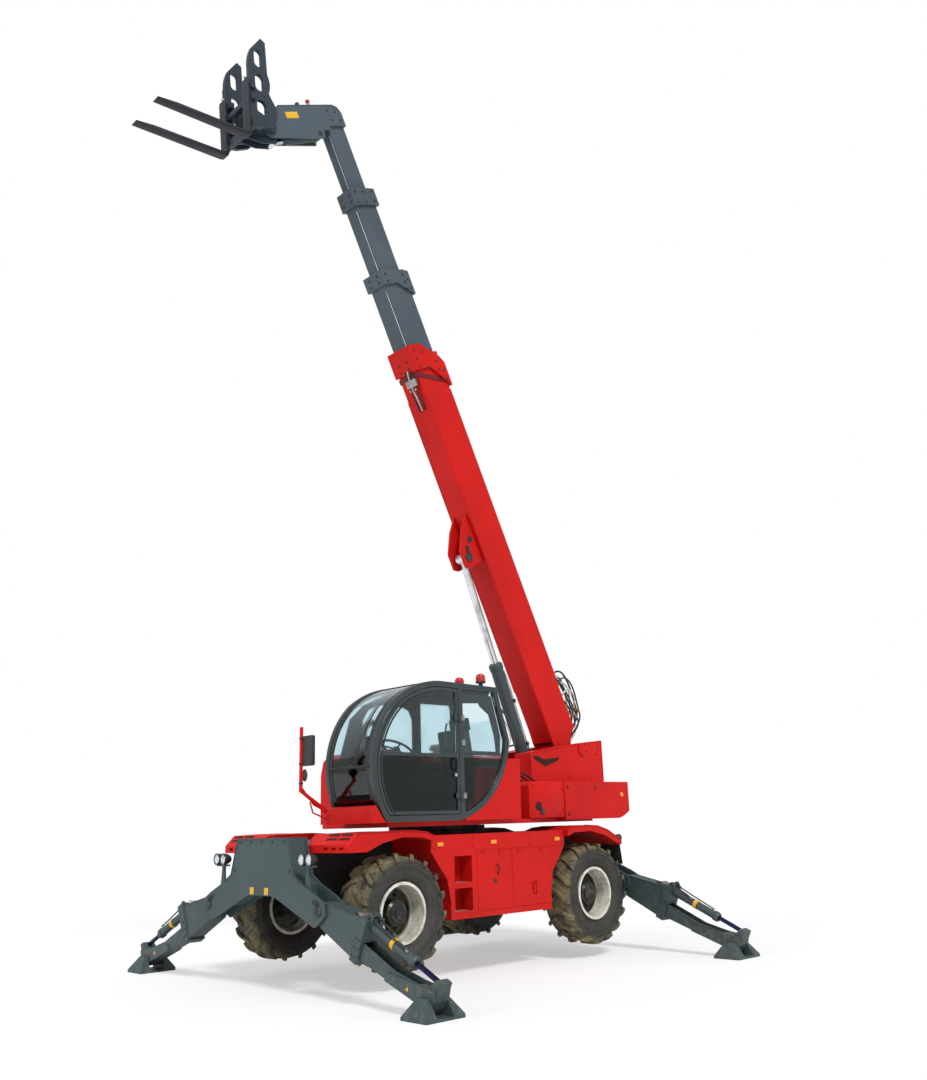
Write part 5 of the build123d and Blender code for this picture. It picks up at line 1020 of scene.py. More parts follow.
cushion("seat_cushion", at(0.60, SEAT_Y, 1.975), (0.48, 0.46, 0.12), 4, 0.25)
cushion("seat_back", at(0.345, SEAT_Y, 2.32), (0.60, 0.44, 0.11), -80, 0.3)
cushion("head_rest", at(0.285, SEAT_Y, 2.665), (0.15, 0.26, 0.09), -80, 0.3)
rods = [round_bar(at(0.305, SEAT_Y + y, 2.56), at(0.292, SEAT_Y + y, 2.65), 0.007, 12) for y in (-0.06, 0.06)]
settle(join(rods), "head_rest_rods", "turret", CHROME)
for side, hand in SIDES:
    rest = pipe([at(x, SEAT_Y + side * dy, z) for x, dy, z in ((0.38, 0.265, 2.17), (0.48, 0.27, 2.185),
                                                               (0.66, 0.27, 2.18), (0.72, 0.27, 2.17))],
                0.028, "NURBS", 3)
    settle(rest, f"arm_rest_{hand}", "turret", TRIM, smooth=60)
    y = SEAT_Y + side * 0.285
    console = block(at(0.60, y, 1.93), (0.42, 0.075, 0.30))
    lever = pipe([at(0.76, y, 2.07), at(0.775, y, 2.13), at(0.79, y, 2.17)], 0.009, "NURBS", 2)
    knob = turned([(0.0, 0.0), (0.0, 0.014), (0.015, 0.021), (0.05, 0.024), (0.085, 0.018), (0.095, 0.0)],
                  at(0.79, y, 2.16), (0.12, 0, 1), 20)
    settle(join([console, lever, knob]), f"joystick_console_{hand}", "turret", TRIM, bevel=0.008)
column = cut_plate([at(x, 0.86, z) for x, z in ((1.36, 1.66), (1.52, 1.66), (1.50, 2.05), (1.43, 2.30), (1.33, 2.34),
                                                (1.28, 2.28), (1.38, 2.02))], (0, -0.22, 0))
settle(column, "steering_column", "turret", TRIM, bevel=0.02)
hub_at, tilt = at(1.235, SEAT_Y, 2.375), Vector((-0.52, 0, 1.0)).normalized()
wheel_rim = turned([(-0.014, 0.180), (-0.010, 0.170), (0.0, 0.166), (0.010, 0.170), (0.014, 0.180), (0.010, 0.190),
                    (0.0, 0.194), (-0.010, 0.190)], hub_at, tilt, 48)
boss = turned([(-0.10, 0.0), (-0.10, 0.030), (-0.02, 0.042), (0.008, 0.038), (0.014, 0.0)], hub_at, tilt, 24)
fore_way = tilt.cross(LEFT)
spokes = [round_bar(hub_at - tilt * 0.01, hub_at + (LEFT * cos(a) + fore_way * sin(a)) * 0.176, 0.010, 12)
          for a in (radians(90), radians(210), radians(330))]
settle(join([wheel_rim, boss] + spokes), "steering_wheel", "turret", TRIM, smooth=50)
dash = cut_plate([at(x, 1.02, z) for x, z in ((1.40, 2.10), (1.62, 2.10), (1.66, 2.24), (1.50, 2.34), (1.40, 2.36))],
                 (0, -0.54, 0))
settle(dash, "instrument_panel", "turret", TRIM, bevel=0.02)
screen_pad = block(at(1.40, 0.52, 2.45), (0.03, 0.20, 0.15))
stalk = round_bar(at(1.42, 0.52, 2.34), at(1.41, 0.52, 2.40), 0.012)
settle(join([screen_pad, stalk]), "monitor", "turret", TRIM, bevel=0.006)
pedals = [block(at(1.52, y, 1.74), (0.09, 0.075, 0.012)) for y in (0.62, 0.88)]
settle(join(pedals), "pedals", "turret", ZINC, bevel=0.004)
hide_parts("cab_interior")

# rubber seal along the door's front edge, its handle, lock and hinge plates
door_front = [p for p in inwards(FRONT_ARC, 0.112) if p[0] > 0.74]
seal = cut_plate([at(x, 1.146, z) for x, z in door_front + inwards(door_front, 0.020)[::-1]], (0, 0.006, 0))
settle(seal, "door_front_seal", "door", TRIM, smooth=50)
handle = pipe([at(0.735, 1.152, 2.13), at(0.735, 1.19, 2.14), at(0.735, 1.19, 2.25), at(0.735, 1.152, 2.26)], 0.009)
settle(handle, "door_handle", "door", TRIM, smooth=60)
lock = turned([(0.0, 0.0), (0.0, 0.020), (0.008, 0.018), (0.010, 0.0)], at(0.735, 1.15, 2.08), (0, 1, 0), 20)
settle(lock, "door_lock_barrel", "door", CHROME)
inside_pull = pipe([at(0.80, 1.10, 2.36), at(0.80, 1.07, 2.37), at(0.80, 1.07, 2.62), at(0.80, 1.10, 2.63)], 0.010)
settle(inside_pull, "door_inside_pull", "door", TRIM, smooth=60)
for z in (1.86, 2.43, 2.70):
    plates = [block(at(0.604, 1.152, z), (0.045, 0.006, 0.06))]
    plates.append(hex_bolts([at(0.604, 1.155, z + s * 0.017) for s in (1, -1)], (0, 1, 0), 0.006, 0.005))
    settle(join(plates), f"hinge_plate_{int(z * 100)}", "turret", ZINC, bevel=0.001)
# roof: edge beads and hatch
for y, way, name in ((1.152, 1, "outer"), (0.343, -1, "inner")):
    bead = pipe([at(x, y - way * 0.004, z) for x, z in inwards(FRONT_ARC[2:], 0.031) + [(0.06, 3.044)]
                 + inwards(REAR_ARC, 0.031)[:-2]], 0.006, "POLY", 1)
    settle(bead, f"hoop_bead_{name}", "turret", CAB_GREY, smooth=60)
hatch = block(at(0.60, SEAT_Y, 3.098), (0.50, 0.46, 0.028))
settle(hatch, "roof_hatch", "turret", CAB_GREY, bevel=0.008)
# beacons: dark base, ribbed dome
domes, bases = [], []
for y in (1.0, 0.64):
    foot = at(0.16, y, 3.0755)
    bases.append(turned([(0.0, 0.0), (0.0, 0.050), (0.010, 0.050), (0.014, 0.026), (0.055, 0.026), (0.060, 0.058),
                         (0.078, 0.060), (0.078, 0.0)], foot, (0, 0, 1), 32))
    domes.append(turned([(0.078, 0.0), (0.078, 0.056), (0.090, 0.057), (0.094, 0.0545), (0.104, 0.057), (0.108, 0.0545),
                         (0.118, 0.057), (0.122, 0.0545), (0.132, 0.055), (0.150, 0.048), (0.163, 0.034), (0.170, 0.0)],
                        foot, (0, 0, 1), 40))
settle(join(bases), "beacon_bases", "turret", TRIM)
domes = settle(join(domes), "beacon_domes", "turret", BEACON_RED, smooth=30)
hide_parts("beacons")
# mirrors on their bracket
shell = block(at(2.190, 0.46, 2.35), (0.052, 0.172, 0.312))
settle(shell, "mirror_shell", "turret", TRIM, bevel=0.014)
glass = block(at(2.162, 0.46, 2.35), (0.004, 0.150, 0.285))
settle(glass, "mirror_glass", "turret", CHROME, bevel=0.001)
small = turned([(0.0, 0.0), (0.0, 0.060), (0.012, 0.064), (0.022, 0.052), (0.034, 0.020), (0.036, 0.0)],
               at(2.205, 0.40, 2.10), (-1, 0.3, 0), 28)
settle(small, "round_mirror", "turret", TRIM)
braces = [pipe([at(x, 0.365, z) for x, z in row], 0.009, "POLY", 2)
          for row in (((1.895, 1.735), (2.05, 1.80), (2.205, 1.975)), ((1.90, 1.66), (2.06, 1.72), (2.10, 1.83)))]
settle(join(braces), "mirror_braces", "turret", RED_PAINT, smooth=60)
clips = [block(at(2.217, 0.365, z), (0.034, 0.038, 0.022)) for z in (2.02, 2.22, 2.48)]
settle(join(clips), "mirror_clips", "turret", TRIM, bevel=0.003)
# pale pipe inside the rear grab rail
line = pipe([at(x, 1.122, z) for x, z in ((0.03, 2.83), (-0.09, 2.71), (-0.165, 2.58), (-0.185, 2.45), (-0.13, 2.42))],
            0.007)
settle(line, "washer_pipe", "turret", PALE_HOSE, smooth=60)

# --- boom ----------------------------------------------------------------------------------------
LIFT_PIN_S, LIFT_PIN_N = 2.745, -0.486
BOOM_PIN_S, BOOM_PIN_Y, BOOM_PIN_N = -0.205, 0.500, -0.10


def boom_block(s, y, n, size):
    """Block lying square to the boom."""
    made = block(on_boom(s, y, n), size)
    made.rotation_euler = (0, -atan2(BOOM_DIR.z, BOOM_DIR.x), 0)
    return made


# bolts of the wear pads on the three collars
for name, body, half_y, half_n, rows in (
    ("outer", "boom", 0.214, 0.2845, ((5.34, -0.20), (5.45, -0.20), (5.57, -0.20), (5.12, 0.14), (5.24, 0.14),
                                      (5.36, 0.14), (5.10, 0.22), (5.22, 0.22), (5.30, -0.06), (5.52, -0.06))),
    ("second", "second", 0.1805, 0.2535, ((6.54, -0.18), (6.64, -0.18), (6.40, 0.13), (6.50, 0.13),
                                          (6.60, 0.13), (6.40, 0.20), (6.52, 0.20))),
    ("third", "third", 0.1435, 0.217, ((7.65, -0.15), (7.79, -0.15), (7.65, 0.0), (7.79, 0.0), (7.65, 0.15),
                                       (7.79, 0.15))),
):
    for side, hand in SIDES:
        bolts = hex_bolts([on_boom(s, side * half_y, n) for s, n in rows], (0, side, 0), 0.012, 0.012)
        settle(bolts, f"{name}_pad_bolts_{hand}", body, CAST)
    s_mid = sum(s for s, n in rows[:2]) / 2
    under = hex_bolts([on_boom(s, y, -half_n) for s in (s_mid - 0.04, s_mid + 0.05) for y in (-0.08, 0.08)], -BOOM_UP,
                      0.012, 0.012)
    settle(under, f"{name}_pad_bolts_under", body, CAST)

# welds along the outer section's edges
for side, hand in SIDES:
    for n, edge in ((-0.2545, "low"), (0.2545, "top")):
        weld = pipe([on_boom(s, side * 0.176, n) for s in (0.75, 2.0, 3.5, 4.95)], 0.005, "POLY", 1)
        settle(weld, f"outer_weld_{edge}_{hand}", "boom", RED_PAINT, smooth=60)
# strap round the section below the collar
strap = [cut_plate([on_boom(s, side * 0.184, n) for s, n in ((5.03, 0.262), (5.10, 0.262), (5.28, -0.262),
                                                             (5.21, -0.262))], (0, side * 0.007, 0))
         for side in (1, -1)]
for start, up in ((5.03, 1), (5.21, -1)):
    strap.append(cut_plate([on_boom(s, y, up * 0.2545) for s, y in ((start, -0.19), (start, 0.19), (start + 0.07, 0.19),
                                                                    (start + 0.07, -0.19))], BOOM_UP * up * 0.008))
settle(join(strap), "hose_strap", "boom", STRAP_RED, bevel=0.0015)
# bundle of pipes and their clamp at the front lower edge of the strap
clamp = boom_block(5.16, 0.05, -0.292, (0.10, 0.18, 0.05))
settle(clamp, "pipe_clamp", "boom", ZINC, bevel=0.005)
for k, y in enumerate((-0.01, 0.04, 0.09)):
    line = pipe([on_boom(s, y + dy, n) for s, dy, n in ((4.78, 0.0, -0.268), (4.92, 0.0, -0.275), (5.06, 0.0, -0.300),
                                                        (5.16, 0.0, -0.305), (5.26, 0.0, -0.302),
                                                        (5.33, 0.01, -0.294))], 0.010)
    settle(line, f"clamped_pipe_{k}", "boom", HOSE if k != 1 else PALE_HOSE, smooth=60)
    nut = turned([(0.0, 0.0), (0.0, 0.015), (0.030, 0.015), (0.030, 0.0)], on_boom(5.055, y, -0.300), BOOM_DIR, 6)
    settle(nut, f"clamped_nut_{k}", "boom", ZINC)

# lift cylinder's pin through the bracket, with its keeper, and the spare hole's plug
for side, hand in SIDES:
    face = side * 0.126
    head = turned([(0.0, 0.0), (0.0, 0.062), (0.012, 0.062), (0.017, 0.054), (0.017, 0.0)],
                  on_boom(LIFT_PIN_S, face, LIFT_PIN_N), (0, side, 0), 32)
    keeper = cut_plate([on_boom(s, face + side * 0.012, n) for s, n in ((2.79, -0.50), (2.90, -0.47), (2.89, -0.435),
                                                                       (2.78, -0.465))], (0, side * 0.010, 0))
    bolts = hex_bolts([on_boom(s, face + side * 0.022, n) for s, n in ((2.815, -0.480), (2.870, -0.460))], (0, side, 0),
                      0.009, 0.010)
    settle(join([head, keeper, bolts]), f"lift_pin_keeper_{hand}", "boom", CAST)
    plug = turned([(0.0, 0.0), (0.0, 0.040), (0.006, 0.044), (0.010, 0.040), (0.010, 0.026), (0.004, 0.022),
                   (0.004, 0.0)], on_boom(2.96, face, -0.36), (0, side, 0), 28)
    settle(plug, f"bracket_plug_{hand}", "boom", TRIM)
    # boom pivot's pin heads
    spot = on_boom(BOOM_PIN_S, side * BOOM_PIN_Y, BOOM_PIN_N)
    head = turned([(0.0, 0.0), (0.0, 0.090), (0.014, 0.090), (0.020, 0.080), (0.020, 0.0)], spot, (0, side, 0), 36)
    bolts = hex_bolts([spot + Vector((0.062 * cos(a), side * 0.020, 0.062 * sin(a))) for a in
                       (2 * pi * k / 4 + 0.4 for k in range(4))], (0, side, 0), 0.009, 0.010)
    settle(join([head, bolts]), f"boom_pin_head_{hand}", "turret", RED_PAINT)

# pipes along the lower edges of the sliding sections, inside the sections round them
for body, y, n, s0, s1 in (("second", 0.130, -0.2300, 4.2, 6.42), ("third", 0.092, -0.1935, 4.9, 7.54),
                           ("inner", 0.062, -0.1550, 5.6, 8.60)):
    line = pipe([on_boom(s, y, n) for s in (s0, (s0 + s1) / 2, s1)], 0.0055, "POLY", 2)
    settle(line, f"edge_pipe_{body}", body, CHROME, smooth=60)
# small eyes along the top edge
for s in (1.4, 2.6, 3.8):
    eye = boom_block(s, 0.12, 0.262, (0.05, 0.012, 0.030))
    settle(eye, f"top_eye_{int(s * 10)}", "boom", RED_PAINT, bevel=0.003)

# pipes bowed up behind the boom's foot, from its cheeks to its back plate
back_plate = boom_block(0.42, 0.0, 0.262, (0.34, 0.26, 0.014))
settle(back_plate, "pipe_plate", "boom", ZINC, bevel=0.003)
bulkhead = boom_block(0.30, 0.0, 0.285, (0.05, 0.24, 0.045))
settle(bulkhead, "pipe_bulkhead", "boom", CAST, bevel=0.004)
for k in range(9):
    y = -0.12 + 0.03 * k
    swing = 0.07 * sin(2.1 * k)
    tall = 0.36 + 0.05 * ((k * 4) % 7)
    high = 0.36 + 0.035 * ((k * 5) % 8)
    line = pipe([on_boom(s, y + dy, n) for s, dy, n in (
        (0.32, 0.0, 0.285), (0.42, 0.0, 0.290), (tall + 0.12, swing, 0.32), (tall + 0.14, swing, high),
        (tall - 0.06, swing * 0.5, high + 0.09), (0.16, -swing, high + 0.10 - 0.01 * k), (-0.02, -swing, high + 0.02),
        (-0.14, swing, 0.24), (-0.18, 0.0, 0.06))], 0.0115 + 0.002 * (k % 2))
    settle(line, f"bowed_pipe_{k}", "boom", PALE_HOSE if k in (1, 4, 7) else HOSE, smooth=60)
    nut = turned([(0.0, 0.0), (0.0, 0.017), (0.034, 0.017), (0.034, 0.0)], on_boom(0.325, y, 0.285), BOOM_DIR, 6)
    settle(nut, f"bowed_nut_{k}", "boom", BRASS if k % 2 else ZINC)
    joint = turned([(0.0, 0.0), (0.0, 0.019), (0.02, 0.021), (0.05, 0.019), (0.05, 0.0)],
                   on_boom(0.14, y - swing, high + 0.075 - 0.01 * k), -BOOM_DIR, 12)
    settle(joint, f"bowed_joint_{k}", "boom", BRASS if k % 3 == 0 else ZINC)
guide = pipe([on_boom(s, y, n) for s, y, n in ((0.62, 0.16, 0.262), (0.66, 0.16, 0.40), (0.66, 0.0, 0.46),
                                               (0.66, -0.16, 0.40), (0.62, -0.16, 0.262))], 0.009)
settle(guide, "pipe_hoop", "boom", TRIM, smooth=60)

# --- boom head, carriage and tines ---------------------------------------------------------------
TILT = Vector((cos(radians(-4.8)), 0, sin(radians(-4.8))))
TILT_UP = Vector((-TILT.z, 0, TILT.x))
HEAD_PIN = on_boom(8.680, 0, -1.150)
HEAD_FACE, TINE_Y, TOWER_FACE = 0.110, 0.262, 0.300


def on_carriage(u, y, v):
    """Point u ahead of the carriage's pin, y to the left and v above it."""
    return HEAD_PIN + TILT * u + LEFT * y + TILT_UP * v


for side, hand in SIDES:
    face = side * HEAD_FACE
    head = turned([(0.0, 0.0), (0.0, 0.034), (0.004, 0.034), (0.0045, 0.0)], on_boom(8.610, face, -0.345),
                  (0, side, 0), 24)
    settle(head, f"tilt_pin_head_{hand}", "inner", CAST)
    bolts = hex_bolts([on_boom(s, face, n) for s, n in ((8.80, 0.10), (8.92, 0.06), (8.80, -0.05), (8.93, -0.08))],
                      (0, side, 0), 0.010, 0.010)
    settle(bolts, f"head_bolts_{hand}", "inner", CAST)
    tag = cut_plate([on_boom(s, face, n) for s, n in ((8.895, -0.62), (8.885, -0.83), (8.80, -0.83), (8.81, -0.62))],
                    (0, side * 0.003, 0))
    settle(tag, f"yellow_plate_{hand}", "inner", YELLOW, bevel=0.001)
    weld = pipe([on_boom(s, face, n) for s, n in ((8.895, 0.165), (8.985, 0.115), (9.010, -0.01), (8.972, -0.90),
                                                  (8.812, -1.185))], 0.005, "POLY", 1)
    settle(weld, f"head_edge_{hand}", "inner", BOOM_SLATE, smooth=60)
# couplings on the head's back, with dust caps
for k, (y, n) in enumerate(((0.04, -0.30), (-0.04, -0.42))):
    coupling = turned([(0.0, 0.0), (0.0, 0.026), (0.02, 0.026), (0.022, 0.018), (0.055, 0.018), (0.058, 0.024),
                       (0.095, 0.024), (0.100, 0.014), (0.100, 0.0)], on_boom(8.965, y, n), BOOM_DIR, 6)
    settle(coupling, f"coupling_{k}", "inner", ZINC)
    cap = turned([(0.0, 0.0), (0.0, 0.027), (0.030, 0.029), (0.040, 0.022), (0.042, 0.0)],
                 on_boom(9.062, y, n), BOOM_DIR, 20)
    settle(cap, f"coupling_cap_{k}", "inner", TRIM if k else BEACON_RED)
    line = pipe([on_boom(s, y, n + dn) for s, dn in ((8.985, -0.015), (9.02, -0.06), (9.00, -0.16),
                                                    (8.97, -0.26), (8.955, -0.40))], 0.008)
    settle(line, f"coupling_pipe_{k}", "inner", HOSE, smooth=60)

for side, hand in SIDES:
    y = side * TINE_Y
    # each tine: forged shank and blade with a tapered tip, hooked over both bars
    shank = cut_plate([on_carriage(u, y + side * 0.060, v) for u, v in (
        (0.4105, 0.350), (0.4605, 0.350), (0.4605, -0.300), (0.4700, -0.345), (0.500, -0.358), (1.40, -0.374),
        (1.633, -0.398), (1.633, -0.408), (0.47, -0.408), (0.425, -0.392), (0.4105, -0.350))], (0, -side * 0.120, 0))
    settle(shank, f"forged_tine_{hand}", "carriage", FORK_BLACK, bevel=0.006, smooth=40)
    hook = cut_plate([on_carriage(u, y + side * 0.050, v) for u, v in (
        (0.340, 0.338), (0.340, 0.372), (0.360, 0.380), (0.4605, 0.372), (0.4605, 0.345), (0.4108, 0.345),
        (0.4108, 0.3385))], (0, -side * 0.100, 0))
    settle(hook, f"tine_hook_{hand}", "carriage", FORK_BLACK, bevel=0.003)
    pin = turned([(0.0, 0.0), (0.0, 0.016), (0.030, 0.016), (0.034, 0.022), (0.048, 0.022), (0.052, 0.0)],
                 on_carriage(0.436, y, 0.368), TILT_UP, 18)
    settle(pin, f"tine_lock_{hand}", "carriage", ZINC)
    # bolts and welds of the towers
    spots = [on_carriage(u, side * TOWER_FACE, v) for u, v in ((0.36, -0.20), (0.36, 0.145), (0.36, 0.30), (0.20, 0.24),
                                                               (0.17, 0.90), (0.33, 0.55))]
    settle(hex_bolts(spots, (0, side, 0), 0.010, 0.010), f"tower_bolts_{hand}", "carriage", CAST)
    for k, (u0, v0, u1, v1) in enumerate(((0.415, -0.24, 0.415, 0.58), (0.155, 0.56, 0.160, 1.00))):
        weld = pipe([on_carriage(u, side * TOWER_FACE, v) for u, v in ((u0, v0), ((u0 + u1) / 2, (v0 + v1) / 2),
                                                                       (u1, v1))], 0.004, "POLY", 1)
        settle(weld, f"tower_weld_{k}_{hand}", "carriage", CARRIAGE_BLUE, smooth=60)
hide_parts("fork_tines")

# --- turret --------------------------------------------------------------------------------------
CHEEK_Y, BALLAST_Y, BALLAST_R, PANEL_Y = 0.5, 0.93, 2.73, 1.15
for side, hand in SIDES:
    face = side * CHEEK_Y
    # dark slanted plate near the front of the cheek, painted shade standing for an opening
    opening = cut_plate([at(x, face, z) for x, z in ((-1.30, 2.37), (-1.22, 2.37), (-1.24, 2.33), (-1.44, 2.24),
                                                     (-1.70, 2.32), (-1.72, 2.36), (-1.52, 2.34), (-1.42, 2.33))],
                        (0, side * 0.004, 0))
    settle(opening, f"cheek_opening_{hand}", "turret", RECESS_SHADE, bevel=0.001)
    bolts = hex_bolts([at(x, face, z) for x, z in ((-2.52, 2.50), (-2.46, 2.42), (-2.36, 2.12), (-1.90, 2.12),
                                                   (-1.30, 2.12), (-2.0, 2.46))], (0, side, 0), 0.010, 0.010)
    settle(bolts, f"cheek_bolts_{hand}", "turret", RED_PAINT)
    edge = pipe([at(x, face, z) for x, z in ((-1.18, 2.05), (-1.18, 2.403), (-2.05, 2.538), (-2.598, 2.598),
                                             (-2.598, 2.06))], 0.008, "POLY", 1)
    settle(edge, f"cheek_edge_{hand}", "turret", RED_PAINT, smooth=60)
    marker = turned([(0.0, 0.0), (0.0, 0.030), (0.008, 0.028), (0.012, 0.018), (0.013, 0.0)],
                    at(-2.42, side * BALLAST_Y, 1.87), (0, side, 0), 24)
    settle(marker, f"tail_marker_{hand}", "turret", AMBER)
    # recessed lifting eye, its well dark with painted shade, on the valve cover at the left and on the ballast at the
    # right
    spot_x, face_y = (-0.82, 0.922) if side > 0 else (-1.52, BALLAST_Y)
    well = turned([(0.0, 0.0), (0.0, 0.045), (0.005, 0.052), (0.010, 0.046), (0.006, 0.036), (0.002, 0.0)],
                  at(spot_x, side * face_y, 1.74), (0, side, 0), 28)
    settle(well, f"lifting_well_{hand}", "turret", RECESS_SHADE)
    clip = block(at(spot_x - 0.06, side * (face_y + 0.010), 1.68), (0.06, 0.024, 0.07))
    settle(clip, f"tie_down_{hand}", "turret", CAST, bevel=0.006)
    spots = [at(x, side * BALLAST_Y, z) for x, z in ((-1.36, 1.96), (-1.36, 1.64), (-1.90, 1.96))]
    bolts = hex_bolts(spots, (0, side, 0), 0.014, 0.014)
    settle(bolts, f"ballast_bolts_{hand}", "turret", CAST)
# sheet-metal cover of the valves between the ballast and the panel behind the cab
cover = cut_plate([at(x, 0.502, z) for x, z in ((-0.66, 1.602), (-1.298, 1.602), (-1.298, 2.03), (-0.71, 2.03),
                                               (-0.66, 1.98))], (0, 0.420, 0))
settle(cover, "valve_cover", "turret", RED_PAINT, bevel=0.008)
hinges = [round_bar(at(-1.27, 0.924, z - 0.03), at(-1.27, 0.924, z + 0.03), 0.008, 14) for z in (1.68, 1.94)]
settle(join(hinges), "valve_cover_hinges", "turret", RED_PAINT)
bolts = hex_bolts([at(x, 0.922, z) for x, z in ((-0.71, 1.65), (-0.74, 1.99), (-0.98, 2.00), (-1.20, 1.64))], (0, 1, 0),
                  0.009, 0.009)
settle(bolts, "valve_cover_bolts", "turret", RED_PAINT)
for k in range(3):
    y = 0.62 + 0.10 * k
    line = pipe([at(x, y - dy, z) for x, dy, z in ((-0.36, 0, 1.62), (-0.37, 0, 1.80), (-0.38, 0, 2.00),
                                                   (-0.42, 0.02, 2.12), (-0.55, 0.05, 2.16), (-0.80, 0.08, 2.14),
                                                   (-1.00, 0.10, 2.035))], 0.012)
    settle(line, f"deck_pipe_{k}", "turret", HOSE, smooth=60)
# bolts of the panel behind the cab and of the box under its front
panel_bolts = hex_bolts([at(x, PANEL_Y, z) for x, z in ((-0.22, 1.66), (0.10, 1.66), (0.50, 1.66), (-0.24, 2.20))],
                        (0, 1, 0), 0.008, 0.008)
settle(panel_bolts, "panel_bolts", "turret", RED_PAINT)
box_bolts = hex_bolts([at(1.905, y, 1.70) for y in (0.42, 1.08)], (1, 0, 0), 0.008, 0.008)
settle(box_bolts, "apron_bolts", "turret", RED_PAINT)
# slats of the grille at the back of the ballast
tail_arc = [(-sqrt(BALLAST_R**2 - y * y) - 0.004, y) for y in (-0.62, -0.40, -0.20, 0.0, 0.20, 0.40, 0.62)]
for k in range(5):
    z = 1.86 + 0.022 * k
    slat = pipe([at(x, y, z) for x, y in tail_arc], 0.006, "NURBS", 1)
    settle(slat, f"tail_slat_{k}", "turret", TRIM, smooth=60)

# --- engine hood ---------------------------------------------------------------------------------
LOUVRE_Y, HOOD_TOP = -1.153, 2.4195
for x, tag in ((-1.02, "rear"), (-0.30, "front")):
    frame_bars = [block(at(x + 0.24, LOUVRE_Y, z), (0.52, 0.010, 0.016)) for z in (1.700, 2.125)]
    frame_bars += [block(at(u, LOUVRE_Y, 1.9125), (0.016, 0.010, 0.44)) for u in (x - 0.012, x + 0.492)]
    settle(join(frame_bars), f"louvre_frame_{tag}", "hood", RED_PAINT, bevel=0.003)
for x in (-0.62, 0.40):
    latch = block(at(x, -1.158, 1.66), (0.11, 0.020, 0.060))
    tongue = block(at(x, -1.170, 1.672), (0.045, 0.014, 0.050))
    settle(join([latch, tongue]), f"hood_latch_{int(100 + x * 100)}", "hood", TRIM, bevel=0.004)
grip = pipe([at(0.48, -1.150, 1.95), at(0.48, -1.195, 1.96), at(0.72, -1.195, 1.96), at(0.72, -1.150, 1.95)], 0.010)
settle(grip, "hood_grip", "hood", TRIM, smooth=60)
outlet = turned([(0.0, 0.0), (0.0, 0.075), (0.02, 0.075), (0.03, 0.056), (0.05, 0.052), (0.05, 0.0)],
                at(0.62, -0.62, HOOD_TOP), (0, 0, 1), 32)
stack = pipe([at(x, -0.62, z) for x, z in ((0.62, 2.46), (0.62, 2.66), (0.61, 2.74), (0.55, 2.80), (0.48, 2.82))],
             0.042, "NURBS", 5)
settle(join([outlet, stack]), "exhaust_stack", "hood", CAST, smooth=50)
ribs = [pipe([at(x, y, 2.4225) for y in (-0.42, -0.60, -0.78, -0.93)], 0.010, "POLY", 1) for x in
        (-1.0, -0.8, -0.6, -0.4, -0.2, 0.0, 0.2)]
settle(join(ribs), "hood_ribs", "hood", RED_PAINT, smooth=60)
intake = turned([(0.0, 0.0), (0.0, 0.085), (0.06, 0.085), (0.07, 0.12), (0.10, 0.125), (0.14, 0.10), (0.15, 0.0)],
                at(-0.55, -0.55, HOOD_TOP), (0, 0, 1), 36)
settle(intake, "air_intake", "hood", TRIM)

# --- cylinders' fittings -------------------------------------------------------------------------
LIFT_FROM = at(-1.75, 0, 1.97)
lift_way = (on_boom(LIFT_PIN_S, 0, LIFT_PIN_N) - LIFT_FROM).normalized()
lift_side = lift_way.cross(LEFT)
gland = turned([(0.0, 0.048), (0.0, 0.088), (0.02, 0.094), (0.075, 0.094), (0.085, 0.084), (0.10, 0.070),
                (0.10, 0.048)], LIFT_FROM + lift_way * 1.660, lift_way, 40)
settle(gland, "lift_gland", "lift_barrel", SLATE_PAINT, smooth=30)
for k, y in enumerate((-0.03, 0.03)):
    line = pipe([LIFT_FROM + lift_way * s + lift_side * n + LEFT * y for s, n in
                 ((0.22, 0.086), (0.25, 0.105), (0.40, 0.108), (1.1, 0.108), (1.45 + 0.1 * k, 0.108),
                  (1.52 + 0.1 * k, 0.095))], 0.010)
    settle(line, f"lift_pipe_{k}", "lift_barrel", CHROME, smooth=60)
clamps = [block(LIFT_FROM + lift_way * s + lift_side * 0.100, (0.04, 0.11, 0.05)) for s in (0.6, 1.2)]
settle(join(clamps), "lift_pipe_clamps", "lift_barrel", TRIM, bevel=0.005)

# --- floor, light and camera ---------------------------------------------------------------------
bpy.ops.object.select_all(action="DESELECT")
bpy.ops.mesh.primitive_plane_add(size=160, location=(0, 0, 0))
floor = bpy.context.object
floor.name = "studio_floor"
floor_material, tree, shader, place = new_material("studio_white")
shader.inputs["Base Color"].default_value = (0.86, 0.86, 0.86, 1)
shader.inputs["Roughness"].default_value = 0.9
shader.inputs["Specular IOR Level"].default_value = 0.0
rays = tree.nodes.new("ShaderNodeLightPath")
lit = tree.nodes.new("ShaderNodeEmission")
lit.inputs["Strength"].default_value = 1.0
blend_in = tree.nodes.new("ShaderNodeMixShader")
seen = add_math(tree, "MULTIPLY", rays.outputs["Is Camera Ray"], 0.45)
tree.links.new(seen, blend_in.inputs["Fac"])
tree.links.new(shader.outputs["BSDF"], blend_in.inputs[1])
tree.links.new(lit.outputs["Emission"], blend_in.inputs[2])
tree.links.new(blend_in.outputs["Shader"], tree.nodes["Material Output"].inputs["Surface"])
floor.data.materials.append(floor_material)

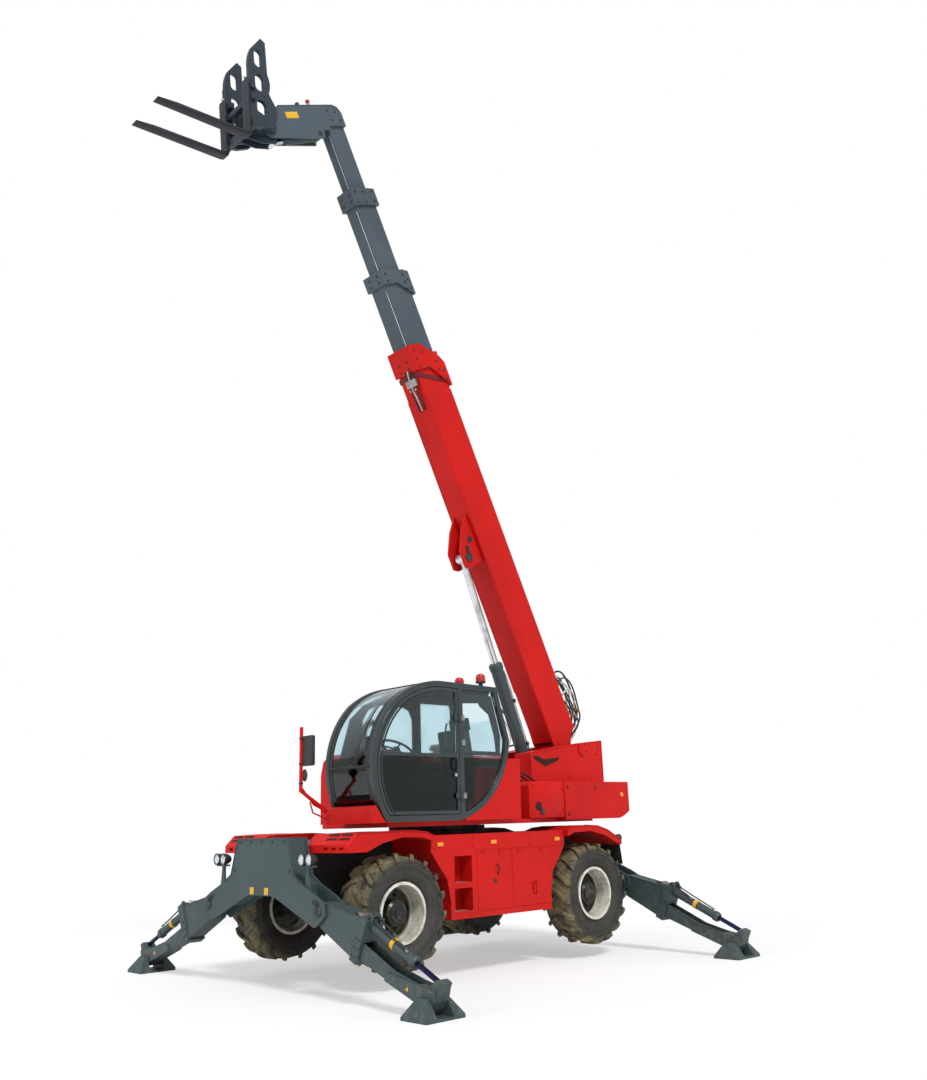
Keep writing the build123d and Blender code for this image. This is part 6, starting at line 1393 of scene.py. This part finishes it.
world = bpy.data.worlds.new("studio")
bpy.context.scene.world = world
world.use_nodes = True
tree = world.node_tree
sky = tree.nodes["Background"]
sky.inputs["Color"].default_value = (0.93, 0.96, 1.0, 1)
sky.inputs["Strength"].default_value = 0.62
white = tree.nodes.new("ShaderNodeBackground")
white.inputs["Color"].default_value = (1.0, 1.0, 1.0, 1)
white.inputs["Strength"].default_value = 1.0
rays = tree.nodes.new("ShaderNodeLightPath")
direct = add_math(tree, "MAXIMUM", rays.outputs["Is Camera Ray"], rays.outputs["Is Transmission Ray"])
choose = tree.nodes.new("ShaderNodeMixShader")
tree.links.new(direct, choose.inputs["Fac"])
tree.links.new(sky.outputs["Background"], choose.inputs[1])
tree.links.new(white.outputs["Background"], choose.inputs[2])
tree.links.new(choose.outputs["Shader"], tree.nodes["World Output"].inputs["Surface"])


def add_sun(name, strength, angle, towards):
    """Sun lamp that shines towards a direction, soft by its angle in degrees."""
    sun = bpy.data.lights.new(name, "SUN")
    sun.energy = strength
    sun.angle = radians(angle)
    lamp = bpy.data.objects.new(name, sun)
    lamp.rotation_euler = Vector(towards).to_track_quat("-Z", "Y").to_euler()
    bpy.context.scene.collection.objects.link(lamp)


add_sun("main_light", 2.3, 12, (-0.35, -0.9, -1.1))
add_sun("front_light", 0.8, 30, (-1.0, 0.15, -0.35))

CAMERA_YAW, CAMERA_PITCH, CAMERA_ROLL = radians(46.2005), radians(15.6448), radians(-1.7727)
ahead = Vector((-cos(CAMERA_YAW) * cos(CAMERA_PITCH), -sin(CAMERA_YAW) * cos(CAMERA_PITCH), sin(CAMERA_PITCH)))
right = ahead.cross(Vector((0, 0, 1))).normalized()
up = right.cross(ahead)
right, up = (right * cos(CAMERA_ROLL) + up * sin(CAMERA_ROLL), up * cos(CAMERA_ROLL) - right * sin(CAMERA_ROLL))
camera_data = bpy.data.cameras.new("camera")
camera_data.lens = 33.68
camera_data.sensor_width = 36.0
camera_data.clip_end = 500.0
camera = bpy.data.objects.new("camera", camera_data)
CAMERA_PLACE = at(8.4321, 9.4129, 1.5703)
camera_turn = Matrix((right, up, -ahead)).transposed().to_4x4()
camera.matrix_world = Matrix.Translation(CAMERA_PLACE) @ camera_turn
bpy.context.scene.collection.objects.link(camera)
bpy.context.scene.camera = camera
bpy.context.scene.view_settings.view_transform = "Standard"
